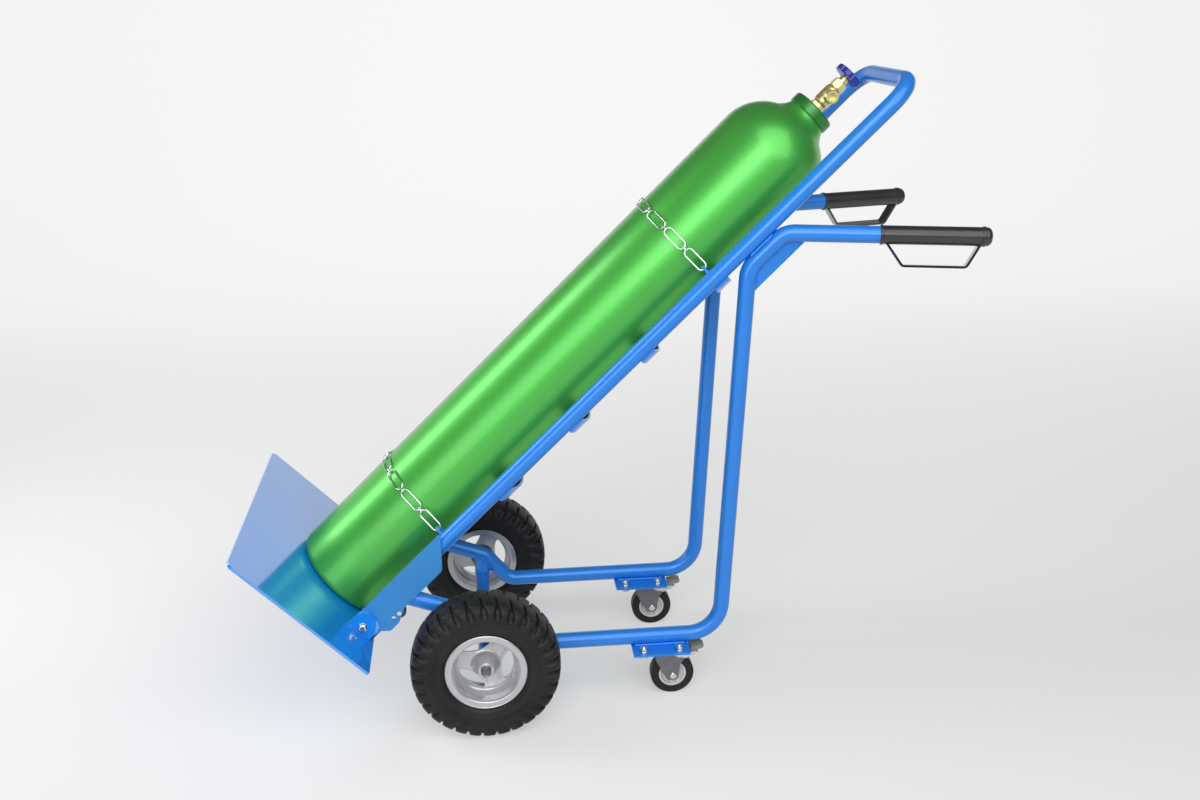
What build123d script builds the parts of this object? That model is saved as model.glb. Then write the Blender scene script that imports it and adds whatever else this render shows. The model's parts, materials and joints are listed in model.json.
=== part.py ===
from build123d import *
import os
from functools import cache
from math import acos, atan2, cos, degrees, radians, sin, sqrt, tan

# A cylinder trolley parked on its own stand: one gas cylinder lies back on two rails, its foot on a toe
# plate, held by two chains; two air-filled wheels and two braked swivel casters carry it, and two splayed
# handles with guarded grips steer it.
# Millimetres and degrees.  +X points to the handles, +Y to the pusher's right, +Z up, floor at Z = 0.
# Modelled from the floor below the middle of the axle; FRAME_SHIFT then centres the finished cart.
# "Bed" sizes run along the rails (u, up the slope) and square to them (v, up and forward).

# ---- driving dimensions --------------------------------------------------------------------------------
RAIL_ANGLE = 44.3            # slope of the rails above the floor

TUBE_OD = 28.6               # tube of the frame
TUBE_WALL = 2.0
WELD_GAP = 0.05              # root gap left at a welded or pressed seat
PLAY = 0.3                   # clearance between parts that are free of each other
RUNNING_FIT = 0.05           # radial clearance of a shaft in its hole

RAIL_V = 276.9               # centre plane of the rails
RAIL_Y = 129.5               # half the distance between the rails
RAIL_START_U = 100.0         # lower, hidden end of each rail
HOOP_U = 1279.5              # cross bar of the hoop
HOOP_BEND = 50.0

STAND_Z = 116.0              # straight lower tube of each side frame
KNEE_TOP_X = 6.3             # knee over the axle
KNEE_RISE = 40.9              # its top above the axle
KNEE_FOOT_X = 51.8
KNEE_BEND = 32.0
NOSE_SLOPE = 20.5            # fall of the tube between the side plate and the knee
NOSE_V = 265.0               # where that tube ends on the side plate
HEEL_X = 428.5               # corner between the lower tube and the upright
HEEL_BEND = 60.0
UPRIGHT_LEAN = 2.64
HANDLE_Z = 852.7             # level of the handles
HANDLE_SPLAY = 13.9          # each handle turns outward
SHOULDER_BEND = 45.0         # bends at the upright's top and at the handle
HANDLE_REACH = 155.0         # from the handle's corner to the grip

GRIP_LENGTH = 166.0
GRIP_OD = 31.0
GRIP_END = 11.5              # closed, domed end past the tube
GRIP_BEAD = 1.2              # raised bead at each end of a grip
GRIP_BEAD_WIDTH = 4.0
GUARD_DROP = 49.5            # hand guard: bar below the handle's centreline
GUARD_INSET = 11.0
GUARD_SLOPE_RUN = 26.0
GUARD_WIDTH = 20.0
GUARD_THICK = 4.0
GUARD_TILT = 7.5             # each guard swings outward from straight down
GUARD_BEND = 7.0

GUSSET_THICK = 4.0           # corner gusset inside the handle's bends
GUSSET_UPRIGHT_Z = 759.0
GUSSET_HANDLE_X = 553.0

PLATE_THICK = 5.0            # side plates that join rail, side frame and toe plate
PLATE_LOW_V = 247.5
PLATE_HIGH_V = 298.0
PLATE_HEAD_X = -69.0         # upright cut end below the rail
PLATE_FOOT_U = -33.0

STRAP_WIDTH = 30.0           # curved cross straps under the rails
STRAP_THICK = 4.0
STRAP_COUNT = 4
STRAP_FIRST_U = 321.0
STRAP_PITCH = 171.5
STRAP_REACH = 137.0

LUG_DROP = 13.0              # lug below each side plate's lower edge
LUG_START_U = -14.0
LUG_END_U = 42.0
LUG_HOLE_U = 21.0
LUG_HOLE_D = 8.0
ROLLER_U = 34.5              # rubber roller on a pin inboard of each lug
ROLLER_V = 246.5
ROLLER_OD = 24.0
ROLLER_WIDTH = 13.0
ROLLER_PIN_D = 8.0

TOE_U = -38.0                # top face of the toe plate
TOE_THICK = 5.0
TOE_REAR_V = 241.0
TOE_FRONT_V = 544.0
TOE_HALF_WIDTH = 251.3
TOE_CORNER = 12.0
EAR_THICK = 5.0              # ears that bolt the toe plate to the side plates
EAR_LOW_V = 252.0
EAR_HIGH_V = 301.0
EAR_HEIGHT = 39.0
EAR_CORNER = 19.0
TOE_BOLT_D = 10.0
TOE_BOLT_HEIGHT = 12.0       # bolt centre above the toe plate
PAD_HEIGHT = 20.0            # rubber blocks on the toe plate beside the side plates' feet
PAD_WIDTH = 14.0
PAD_LENGTH = 21.0
PAD_LOW_V = 244.0

WHEEL_R = 130.0              # air-filled wheels; "a" is measured outward from the centre plane
TRACK = 214.0                # half the distance between their centre planes
TYRE_WIDTH = 86.0
TYRE_WALL = 8.0
TREAD_THICK = 12.0
TYRE_WALL_TOP = 24.0         # flat part of the tyre's inside, below the crown
TYRE_WALL_FOOT = 40.0
LUG_COUNT = 31
LUG_DEPTH = 5.0
LUG_GAP = 5.0
LUG_SKEW = 9.0               # grooves slant across the tread
CROWN_GROOVE = 3.0           # half the plain strip round the crown
SHOULDER_A = 38.0
SIDE_R = 97.0                # widest part of the sidewall, where the lugs' sides begin
SIDEWALL_ROUND = 20.0
SHOULDER_DROP = 9.0          # shoulder's corner below the crown
RIM_WIDTH = 65.0
FLANGE_R = 70.8
BEAD_R = 60.0                # bead seat of the rim
RIM_SHEET = 2.5
DISH_A = -3.0                # the rim's disc
SLOT_COUNT = 3
SLOT_TURN = 10.0
SLOT_R = 38.0                # middle of each lens-shaped slot
SLOT_EDGE_R = 48.0           # both its edges
RIDGE_R = 1.5                # pressed ridge along each slot's inner edge
RIDGE_OUT = 6.0
RIDGE_ARC = 66.0
HUB_OD = 27.0
HUB_FOOT_R = 23.0            # foot of the hub's cone on the disc
HUB_IN_A = -34.0
HUB_OUT_A = 24.0
INNER_TUBE_WALL = 2.5
INNER_TUBE_ROUND = 14.0
INNER_TUBE_FOOT = 14.0       # half its width on the rim

AXLE_D = 16.0
AXLE_TUBE_OD = 25.0
BEARING_OD = 22.0
BEARING_WIDTH = 12.0
BEARING_LIP = 0.8            # wall of each race beside its seal
BEARING_SEAL_DEPTH = 1.0     # seals sit this far below the races' faces
WASHER_OD = 23.0
WASHER_THICK = 1.5
HUB_CAP_OD = 19.0
HUB_CAP_LENGTH = 5.0

CASTER_X = 317.0             # swivel axis
CASTER_TRAIL = 24.0
CASTER_R = 40.0
CASTER_WIDTH = 24.0
CASTER_CORE_R = 25.0
CASTER_AXLE_D = 8.0
CASTER_HEAD_R = 6.5
BRACKET_LENGTH = 104.0       # painted plate welded under the side frame
BRACKET_WIDTH = 90.0
BRACKET_THICK = 4.0
BOLT_SPACING_X = 65.0
BOLT_SPACING_Y = 62.0
CASTER_BOLT_D = 8.0
CASTER_PLATE_LENGTH = 95.0
CASTER_PLATE_WIDTH = 80.0
CASTER_PLATE_THICK = 3.0
RACE_OD = 50.0
RACE_HEIGHT = 7.0
KINGPIN_D = 12.0
FORK_SHEET = 2.5
FORK_GAP = 3.0               # between the wheel's side and each fork leg
FORK_CROWN_R = 24.0
FORK_BOSS_R = 10.0
PEDAL_PIN_X = 40.0           # brake pedal's pin, from the swivel axis and above the floor
PEDAL_PIN_Z = 81.0
PEDAL_PIN_D = 4.4
PEDAL_SHEET = 2.0
PEDAL_TRAVEL = 12.0
PAD_TILT = 10.0
PAD_START_X = 18.0           # inner end of the foot pad, from the pedal's pin
PAD_SEAT_Z = 5.5
BRAKE_PAD_LENGTH = 25.0
BRAKE_PAD_WIDTH = 26.0
BRAKE_PAD_THICK = 6.0

CYL_R = 97.6                 # gas cylinder
CYL_RISE = 50.7              # its axis above the rails' centre plane
CYL_WALL = 6.0
CYL_FOOT_ROUND = 14.0
CYL_SHOULDER_U = 1040.0      # end of the straight wall
SHOULDER_RISE = 72.0         # from there to the crease between shoulder and neck
CREASE_R = 57.0
NECK_R = 37.5
NECK_RISE = 22.5             # from the crease to the neck ring
COLLAR_R = 39.8
COLLAR_HEIGHT = 19.0
NECK_BORE = 25.0

VALVE_HEX = 24.0             # brass valve, above the neck ring
VALVE_STUB = 26.0            # inlet stub inside the neck
VALVE_HEX_HEIGHT = 9.0
VALVE_BODY_D = 29.0
VALVE_BODY_HEIGHT = 38.0
OUTLET_HEIGHT = 30.0         # outlet's centre above the neck ring
OUTLET_REACH = 30.0          # outlet's face from the cylinder's axis
OUTLET_R = 10.7
OUTLET_BORE_R = 7.0
OUTLET_DEPTH = 14.0
BONNET_HEX = 23.0
BONNET_HEIGHT = 15.0
GLAND_D = 16.0
GLAND_HEIGHT = 8.0
SPINDLE_D = 8.0
HANDWHEEL_D = 48.5
HANDWHEEL_THICK = 11.0
HANDWHEEL_LOBES = 7
HANDWHEEL_LIFT = 1.5
SPINDLE_DEPTH = 16.0         # blind hole below the bonnet

CHAIN_WIRE = 4.0             # welded link chain
LINK_INSIDE = 27.0
LINK_WIDTH = 15.0
LOWER_CHAIN_U = 189.0
UPPER_CHAIN_U = 832.0
TAB_THICK = 4.0
TAB_R = 8.0
TAB_HOLE_R = 3.6
TAB_SLACK = 0.8              # an end link's play in its hole
TAB_OUT = 21.5               # hole's centre from the rail's centreline
TAB_LEAN = 32.0              # tab leans in over the cylinder

# ---- derived sizes -------------------------------------------------------------------------------------
TUBE_R = TUBE_OD / 2
KNEE_TOP_Z = WHEEL_R + KNEE_RISE
CYL_V = RAIL_V + CYL_RISE
CREASE_U = CYL_SHOULDER_U + SHOULDER_RISE
COLLAR_U = CREASE_U + NECK_RISE
PLATE_IN_Y = RAIL_Y + TUBE_R + WELD_GAP
PLATE_OUT_Y = PLATE_IN_Y + PLATE_THICK
SLOPE_COS = cos(radians(RAIL_ANGLE))
SLOPE_SIN = sin(radians(RAIL_ANGLE))
UP_SLOPE = Vector(SLOPE_COS, 0, SLOPE_SIN)


def bed(u, v, y=0.0):
    """World point from a place on the rails' slope."""
    return Vector(u * SLOPE_COS - v * SLOPE_SIN, y, u * SLOPE_SIN + v * SLOPE_COS)


def meet_bed(point_x, point_z, slope_x, slope_z, v):
    """Where a line in the XZ plane reaches the bed height v, as (x, z)."""
    start_v = -point_x * SLOPE_SIN + point_z * SLOPE_COS
    run = (v - start_v) / (-slope_x * SLOPE_SIN + slope_z * SLOPE_COS)
    return point_x + run * slope_x, point_z + run * slope_z


LEAN_X = sin(radians(UPRIGHT_LEAN))
LEAN_Z = cos(radians(UPRIGHT_LEAN))
BRACE_V = RAIL_V - TUBE_OD - WELD_GAP            # the side frame's short run under the rail
UPRIGHT_TOP = meet_bed(HEEL_X, STAND_Z, LEAN_X, LEAN_Z, BRACE_V)
HANDLE_X = meet_bed(0, HANDLE_Z, 1, 0, BRACE_V)[0]
NOSE = meet_bed(KNEE_TOP_X, KNEE_TOP_Z, -cos(radians(NOSE_SLOPE)), sin(radians(NOSE_SLOPE)), NOSE_V)

GRIP_TIP = HANDLE_REACH + GRIP_LENGTH + GRIP_END
FRONT_X = bed(TOE_U - TOE_THICK, TOE_FRONT_V).X
GRIP_TIP_R = GRIP_OD / 2
BACK_X = HANDLE_X + (GRIP_TIP - GRIP_TIP_R) * cos(radians(HANDLE_SPLAY)) + GRIP_TIP_R
FRAME_SHIFT = -(FRONT_X + BACK_X) / 2

CYL_AXIS = Plane(origin=bed(0, CYL_V), x_dir=(0, 1, 0), z_dir=UP_SLOPE)
BRACKET_TOP = STAND_Z - TUBE_R - WELD_GAP
CASTER_TOP = BRACKET_TOP - BRACKET_THICK
RACE_TOP = CASTER_TOP - CASTER_PLATE_THICK
CROWN_TOP = RACE_TOP - RACE_HEIGHT - PLAY
COLLAR_TOP = COLLAR_U + COLLAR_HEIGHT
EAR_BOLT_V = (EAR_LOW_V + EAR_HIGH_V) / 2
ROLLER_Y = PLATE_IN_Y - PLAY - ROLLER_WIDTH      # inboard face of a roller
PAD_Y = PLATE_IN_Y - PLAY - PAD_WIDTH / 2
BONNET_U = COLLAR_TOP + VALVE_HEX_HEIGHT + VALVE_BODY_HEIGHT + WELD_GAP
HANDWHEEL_U = BONNET_U + BONNET_HEIGHT + GLAND_HEIGHT + HANDWHEEL_LIFT
AXLE_TUBE_HALF = TRACK + HUB_IN_A - WASHER_THICK - PLAY
AXLE_HALF = TRACK + HUB_OUT_A + PLAY + WASHER_THICK + HUB_CAP_LENGTH - 2


# ---- helpers -------------------------------------------------------------------------------------------
def slope_plane(y):
    """Upright plane at y whose x runs up the rails and whose y rises square to them; normal is -Y."""
    return Plane(origin=(0, y, 0), x_dir=UP_SLOPE, z_dir=(0, -1, 0))


def cross_plane(u):
    """Plane square to the rails at u: x is +Y, y rises from the rails."""
    return Plane(origin=bed(u, 0), x_dir=(0, 1, 0), z_dir=UP_SLOPE)


def rounded_face(points, radii):
    """Flat face inside a closed outline with its own radius at each corner."""
    return make_face(FilletPolyline(*points, radius=radii, close=True))


def bent_tube(points, radii, outer_r, inner_r=None):
    """Tube, or solid bar, along straight runs joined by tangent bends."""
    path = FilletPolyline(*points, radius=radii)
    section = Circle(outer_r)
    if inner_r:
        section -= Circle(inner_r)
    return sweep(Plane(origin=path @ 0, z_dir=path % 0) * section, path=path)


def turned(points, radii=None):
    """Solid of revolution about Z from (radius, height) points, its corners rounded by radii."""
    outline = FilletPolyline(*points, radius=radii, close=True) if radii else Polyline(*points, close=True)
    return revolve(Plane.XZ * make_face(outline), axis=Axis.Z)


def bar(start, end, radius):
    """Plain round bar between two points."""
    run = Vector(*end) - Vector(*start)
    return extrude(Plane(origin=start, z_dir=run) * Circle(radius), amount=run.length)


def hexagon(across_flats):
    return RegularPolygon(across_flats / 2, 6, major_radius=False)


def both_sides():
    """The cart's two sides: (name, sign of y)."""
    return (("left", -1), ("right", 1))


# ---- frame ---------------------------------------------------------------------------------------------
def main_hoop():
    """One tube bent into both rails and the cross bar above the valve."""
    points = [bed(RAIL_START_U, RAIL_V, -RAIL_Y), bed(HOOP_U, RAIL_V, -RAIL_Y)]
    points += [bed(HOOP_U, RAIL_V, RAIL_Y), bed(RAIL_START_U, RAIL_V, RAIL_Y)]
    return bent_tube(points, [HOOP_BEND, HOOP_BEND], TUBE_R, TUBE_R - TUBE_WALL)


def handle_direction(side):
    return Vector(cos(radians(HANDLE_SPLAY)), side * sin(radians(HANDLE_SPLAY)), 0)


def side_frame_route(side):
    """Corners and bend radii of a side frame, from its nose on the side plate to the handle's end."""
    y = side * RAIL_Y
    corner = Vector(HANDLE_X, y, HANDLE_Z)
    points = [(NOSE[0], y, NOSE[1]), (KNEE_TOP_X, y, KNEE_TOP_Z), (KNEE_FOOT_X, y, STAND_Z)]
    points += [(HEEL_X, y, STAND_Z), (UPRIGHT_TOP[0], y, UPRIGHT_TOP[1]), corner]
    points += [corner + handle_direction(side) * (HANDLE_REACH + GRIP_LENGTH)]
    return points, [KNEE_BEND, KNEE_BEND, HEEL_BEND, SHOULDER_BEND, SHOULDER_BEND]


def side_frame(side):
    points, radii = side_frame_route(side)
    return bent_tube(points, radii, TUBE_R, TUBE_R - TUBE_WALL)


def side_frame_envelope(side):
    """Solid a weld gap larger than the side frame's tube, to cope other parts to it."""
    points, radii = side_frame_route(side)
    return bent_tube(points, radii, TUBE_R + WELD_GAP)


def corner_gusset(side, envelope):
    """Flat plate that stiffens the upright's top and the handle's corner."""
    low_x = HEEL_X + (GUSSET_UPRIGHT_Z - STAND_Z) * LEAN_X / LEAN_Z
    inner = (UPRIGHT_TOP[0], UPRIGHT_TOP[1])
    outline = [(low_x, GUSSET_UPRIGHT_Z), inner, (HANDLE_X, HANDLE_Z), (GUSSET_HANDLE_X, HANDLE_Z)]
    outline += [(GUSSET_HANDLE_X, HANDLE_Z - TUBE_R - 2), (low_x + TUBE_R + 2, GUSSET_UPRIGHT_Z)]
    plane = Plane(origin=(0, side * RAIL_Y, 0), x_dir=(1, 0, 0), z_dir=(0, -1, 0))
    plate = extrude(plane * make_face(Polyline(*outline, close=True)), amount=GUSSET_THICK / 2, both=True)
    return (plate - envelope).solids().sort_by(SortBy.VOLUME)[-1]


def saddle_strap(index):
    """Curved strap welded under both rails; the cylinder rests on its middle."""
    rail_drop = RAIL_V - (CYL_V - CYL_R - PLAY)
    reach = RAIL_Y ** 2 + rail_drop ** 2 - (TUBE_R + WELD_GAP) ** 2
    top_r = reach / (2 * (rail_drop - TUBE_R - WELD_GAP))
    centre_v = RAIL_V - rail_drop + top_r
    ring = Circle(top_r + STRAP_THICK) - Circle(top_r)
    window = Pos(0, -top_r) * Rectangle(2 * STRAP_REACH, top_r)
    strap = extrude(Pos(0, centre_v) * (ring & window), amount=STRAP_WIDTH / 2, both=True)
    return cross_plane(STRAP_FIRST_U + index * STRAP_PITCH) * strap


def side_plate(side):
    """Long plate outboard of the rail, on which rail, side frame and toe plate meet."""
    head_top_u = (PLATE_HEAD_X + PLATE_HIGH_V * SLOPE_SIN) / SLOPE_COS
    head_low_u = (PLATE_HEAD_X + PLATE_LOW_V * SLOPE_SIN) / SLOPE_COS
    outline = [(PLATE_FOOT_U, PLATE_LOW_V), (head_low_u, PLATE_LOW_V)]
    outline += [(head_top_u, PLATE_HIGH_V), (PLATE_FOOT_U, PLATE_HIGH_V)]
    face = rounded_face(outline, [16, 16, 3, 22])
    low_v = PLATE_LOW_V - LUG_DROP
    lug = [(LUG_START_U, PLATE_LOW_V + 1), (LUG_START_U + LUG_DROP, low_v), (LUG_HOLE_U, low_v)]
    lug += [(LUG_END_U, PLATE_LOW_V - 3), (LUG_END_U + 8, PLATE_LOW_V + 1)]
    face += rounded_face(lug, [0, 8, 10, 5, 0])
    face -= Pos(TOE_U + TOE_BOLT_HEIGHT, EAR_BOLT_V) * Circle(TOE_BOLT_D / 2 + WELD_GAP)
    face -= Pos(LUG_HOLE_U, PLATE_LOW_V) * Circle(LUG_HOLE_D / 2)
    face -= Pos(ROLLER_U, ROLLER_V) * Circle(ROLLER_PIN_D / 2 + WELD_GAP)
    start = side * PLATE_IN_Y
    return extrude(slope_plane(start) * face, amount=-side * PLATE_THICK)


def roller_plane(side, y):
    """Frame on a roller's axis at the distance y from the middle, Z outboard."""
    return Plane(origin=bed(ROLLER_U, ROLLER_V, side * y), x_dir=UP_SLOPE, z_dir=(0, side, 0))


def roller_pins():
    """Headed pins through the side plates that carry the rubber rollers."""
    shank = ROLLER_PIN_D / 2
    length = PLATE_OUT_Y - ROLLER_Y
    head = shank + 2
    pin = turned([(0, -2), (head, -2), (head, -PLAY), (shank, -PLAY), (shank, length), (0, length)])
    return [roller_plane(side, ROLLER_Y) * pin for _, side in both_sides()]


def rubber_buffers():
    """Rubber rollers inboard of the side plates' lugs, and blocks between toe plate and side plates."""
    roller = extrude(Circle(ROLLER_OD / 2), amount=ROLLER_WIDTH)
    roller = fillet(roller.edges(), 1.5)
    roller -= extrude(Circle(ROLLER_PIN_D / 2 + WELD_GAP), amount=ROLLER_WIDTH)
    pad = Box(PAD_HEIGHT, PAD_WIDTH, PAD_LENGTH, align=(Align.MIN, Align.CENTER, Align.MIN))
    pad = fillet(pad.edges().filter_by(Axis.X), 3)
    pieces = []
    for _, side in both_sides():
        pieces.append(roller_plane(side, ROLLER_Y) * roller)
        seat = bed(TOE_U + WELD_GAP, PAD_LOW_V, side * PAD_Y)
        pieces.append(Plane(origin=seat, x_dir=UP_SLOPE, z_dir=(-SLOPE_SIN, 0, SLOPE_COS)) * pad)
    return pieces


def toe_plate():
    """Flat foot plate with two upright ears, one outboard of each side plate."""
    depth = TOE_FRONT_V - TOE_REAR_V
    corners = [(-TOE_HALF_WIDTH, 0), (TOE_HALF_WIDTH, 0), (TOE_HALF_WIDTH, depth), (-TOE_HALF_WIDTH, depth)]
    face = rounded_face(corners, [2, 2, TOE_CORNER, TOE_CORNER])
    plane = Plane(origin=bed(TOE_U, TOE_REAR_V), x_dir=(0, 1, 0), z_dir=UP_SLOPE)
    plate = extrude(plane * face, amount=-TOE_THICK)
    for _, side in both_sides():
        low_u = TOE_U - TOE_THICK / 2
        top_u = TOE_U + EAR_HEIGHT
        outline = [(low_u, EAR_LOW_V), (top_u, EAR_LOW_V), (top_u, EAR_HIGH_V), (low_u, EAR_HIGH_V)]
        ear = rounded_face(outline, [0, EAR_CORNER, EAR_CORNER, 0])
        ear -= Pos(TOE_U + TOE_BOLT_HEIGHT, EAR_BOLT_V) * Circle(TOE_BOLT_D / 2 + WELD_GAP)
        plate += extrude(slope_plane(side * (PLATE_OUT_Y + WELD_GAP)) * ear, amount=-side * EAR_THICK)
    return plate


def toe_plate_bolts():
    """Dome-headed bolts through the ears and side plates, each with a nut inboard."""
    shank_r = TOE_BOLT_D / 2
    head_r = 1.7 * shank_r
    head_h = 0.6 * TOE_BOLT_D
    nut_h = 0.8 * TOE_BOLT_D
    grip_length = EAR_THICK + PLATE_THICK + 2 * WELD_GAP
    end = -grip_length - nut_h - 3
    outline = [(0, end), (shank_r, end), (shank_r, WELD_GAP)]
    outline += [(head_r, WELD_GAP), (head_r, head_h), (0, head_h)]
    bolt = turned(outline, [0, 1, 0, 0, head_h - 1, 0])
    nut = extrude(hexagon(1.6 * TOE_BOLT_D) - Circle(shank_r + WELD_GAP), amount=nut_h)
    fasteners = []
    for _, side in both_sides():
        face_y = side * (PLATE_OUT_Y + WELD_GAP + EAR_THICK)
        seat = bed(TOE_U + TOE_BOLT_HEIGHT, EAR_BOLT_V, face_y)
        place = Plane(origin=seat, x_dir=UP_SLOPE, z_dir=(0, side, 0))
        fasteners.append(place * bolt)
        fasteners.append(place * Pos(0, 0, -grip_length - nut_h - WELD_GAP) * nut)
    return fasteners


def axle_tube():
    """Tube across the cart that carries the axle."""
    outer = bar((0, -AXLE_TUBE_HALF, WHEEL_R), (0, AXLE_TUBE_HALF, WHEEL_R), AXLE_TUBE_OD / 2)
    return outer - bar((0, -AXLE_TUBE_HALF, WHEEL_R), (0, AXLE_TUBE_HALF, WHEEL_R), AXLE_D / 2 + WELD_GAP)


def axle():
    return bar((0, -AXLE_HALF, WHEEL_R), (0, AXLE_HALF, WHEEL_R), AXLE_D / 2)


def axle_post(side, envelope):
    """Short upright tube between the side frame's knee and the axle tube, coped to both."""
    knee_z = KNEE_TOP_Z + KNEE_TOP_X * tan(radians(NOSE_SLOPE))
    post = bar((0, side * RAIL_Y, WHEEL_R), (0, side * RAIL_Y, knee_z), TUBE_R)
    post -= bar((0, side * RAIL_Y, WHEEL_R - 1), (0, side * RAIL_Y, knee_z + 1), TUBE_R - TUBE_WALL)
    post -= bar((0, side * RAIL_Y - TUBE_OD, WHEEL_R), (0, side * RAIL_Y + TUBE_OD, WHEEL_R),
                AXLE_TUBE_OD / 2 + WELD_GAP)
    return (post - envelope).solids().sort_by(SortBy.VOLUME)[-1]


def axle_end_fittings():
    """Washers either side of each hub, and the domed caps that keep the wheels on the axle."""
    washer = extrude(Circle(WASHER_OD / 2) - Circle(AXLE_D / 2 + WELD_GAP), amount=WASHER_THICK)
    cap = extrude(Circle(HUB_CAP_OD / 2), amount=HUB_CAP_LENGTH)
    cap = fillet(cap.edges().group_by(Axis.Z)[-1], 2.5)
    cap -= extrude(Circle(AXLE_D / 2 + WELD_GAP), amount=HUB_CAP_LENGTH - 2 + WELD_GAP)
    pieces = []
    for _, side in both_sides():
        inner_y = TRACK + HUB_IN_A - PLAY - WASHER_THICK
        outer_y = TRACK + HUB_OUT_A + PLAY
        inboard = Plane(origin=(0, side * inner_y, WHEEL_R), z_dir=(0, side, 0))
        outboard = Plane(origin=(0, side * outer_y, WHEEL_R), z_dir=(0, side, 0))
        pieces += [inboard * washer, outboard * washer, outboard * Pos(0, 0, WASHER_THICK) * cap]
    return pieces


# ---- handles -------------------------------------------------------------------------------------------
def handle_plane(side, distance):
    """Plane square to a handle, its x pointing down, at a distance from the handle's corner."""
    origin = Vector(HANDLE_X, side * RAIL_Y, HANDLE_Z) + handle_direction(side) * distance
    return Plane(origin=origin, x_dir=(0, 0, -1), z_dir=handle_direction(side))


def grip(side):
    """Rubber sleeve with a bead at each end and a closed, domed tip."""
    outer = GRIP_OD / 2
    bead = outer + GRIP_BEAD
    bore = TUBE_R + WELD_GAP
    tip = GRIP_LENGTH + GRIP_END
    points = [(bore, 0), (bead, 0), (bead, GRIP_BEAD_WIDTH), (outer, GRIP_BEAD_WIDTH + 1)]
    points += [(outer, GRIP_LENGTH - GRIP_BEAD_WIDTH - 1), (bead, GRIP_LENGTH - GRIP_BEAD_WIDTH)]
    points += [(bead, GRIP_LENGTH), (outer, GRIP_LENGTH + 1), (outer, tip), (0, tip)]
    points += [(0, GRIP_LENGTH + WELD_GAP), (bore, GRIP_LENGTH + WELD_GAP)]
    sleeve = turned(points, [0, 1, 0, 0, 0, 0, 1, 0, GRIP_END - 2, 0, 0, 0])
    return handle_plane(side, HANDLE_REACH) * sleeve


def hand_guard(side):
    """Flat strip bent into a guard below the grip, swung a little outward."""
    top = GRIP_OD / 2 - GUARD_THICK / 2
    low = Vector(GUARD_DROP, GUARD_INSET + GUARD_SLOPE_RUN)
    end = GRIP_LENGTH - GUARD_INSET + 3
    far = Vector(GUARD_DROP, end - 0.75 * GUARD_SLOPE_RUN)
    line = FilletPolyline((top, GUARD_INSET), low, far, (top, end), radius=GUARD_BEND)
    strip = extrude(trace(line, line_width=GUARD_THICK), amount=GUARD_WIDTH / 2, both=True)
    swung = Rot(0, 0, side * GUARD_TILT) * Rot(90, 0, 0) * strip
    sleeve = extrude(Circle(GRIP_OD / 2 + WELD_GAP), amount=GRIP_LENGTH)
    return handle_plane(side, HANDLE_REACH) * (swung - sleeve)


# ---- chains --------------------------------------------------------------------------------------------
def tab_hole(side):
    """Centre of a chain tab's hole in the section through the cylinder."""
    lean = radians(TAB_LEAN)
    return Vector(side * (RAIL_Y - TAB_OUT * sin(lean)), RAIL_V + TAB_OUT * cos(lean))


def chain_route():
    """Line of the links' joints in the section: tab, straight, round the cylinder, straight, tab."""
    hole = tab_hole(-1) - Vector(0, CYL_V)
    seat = TAB_HOLE_R - TAB_SLACK
    around = sqrt((CYL_R + PLAY + LINK_WIDTH / 2) ** 2 + (LINK_INSIDE / 2) ** 2)
    lift = atan2(hole.Y, -hole.X) + acos(around / hole.length)
    touch = Vector(-around * cos(lift), around * sin(lift))
    arc = ThreePointArc(touch, (0, around), (-touch.X, touch.Y))
    first = hole + (touch - hole).normalized() * seat
    near = Line(first, touch)
    far = Line((-touch.X, touch.Y), (-first.X, first.Y))
    return Pos(0, CYL_V) * Wire([near, arc, far])


def link(length):
    """One welded link of round wire, lying in its own XY plane along X."""
    bend = (LINK_WIDTH - CHAIN_WIRE) / 2
    straight = length + CHAIN_WIRE - 2 * bend
    path = SlotCenterToCenter(straight, 2 * bend).wire()
    return sweep(Plane(origin=path @ 0, z_dir=path % 0) * Circle(CHAIN_WIRE / 2), path=path)


def chain(u):
    """Chain of interlocked links over the cylinder, every other link turned a quarter turn."""
    route = chain_route()
    count = 2 * round((route.length / LINK_INSIDE - 1) / 2) + 1
    one = link(route.length / count + PLAY)
    section = cross_plane(u)
    links = []
    for index in range(count):
        start = route @ (index / count)
        end = route @ ((index + 1) / count)
        across = Vector(0, 0, 1) if index % 2 else Vector(start.Y - end.Y, end.X - start.X, 0).normalized()
        links.append(section * Plane(origin=(start + end) / 2, x_dir=end - start, z_dir=across) * one)
    return links


def chain_tabs():
    """Small drilled tabs on the rails that take the chains' end links."""
    tabs = []
    for u in (LOWER_CHAIN_U, UPPER_CHAIN_U):
        for _, side in both_sides():
            hole = tab_hole(side)
            root = Vector(side * RAIL_Y, RAIL_V)
            arm = (hole - root).normalized()
            face = Pos(hole.X, hole.Y) * Circle(TAB_R)
            shank = Plane(origin=(root + hole) / 2, x_dir=arm, z_dir=(0, 0, 1))
            face += shank * Rectangle(TAB_OUT, 2 * TAB_R)
            face -= Pos(root.X, root.Y) * Circle(TUBE_R + WELD_GAP)
            face -= Pos(hole.X, hole.Y) * Circle(TAB_HOLE_R)
            tab = extrude(face, amount=TAB_THICK / 2, both=True)
            tabs.append(cross_plane(u) * tab.solids().sort_by(SortBy.VOLUME)[-1])
    return tabs


# ---- air-filled wheels ---------------------------------------------------------------------------------
def wheel_plane(side):
    """Wheel's own frame: Z outward along the axle, origin on the wheel's centre plane."""
    return Plane(origin=(0, side * TRACK, WHEEL_R), x_dir=(1, 0, 0), z_dir=(0, side, 0))


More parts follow.
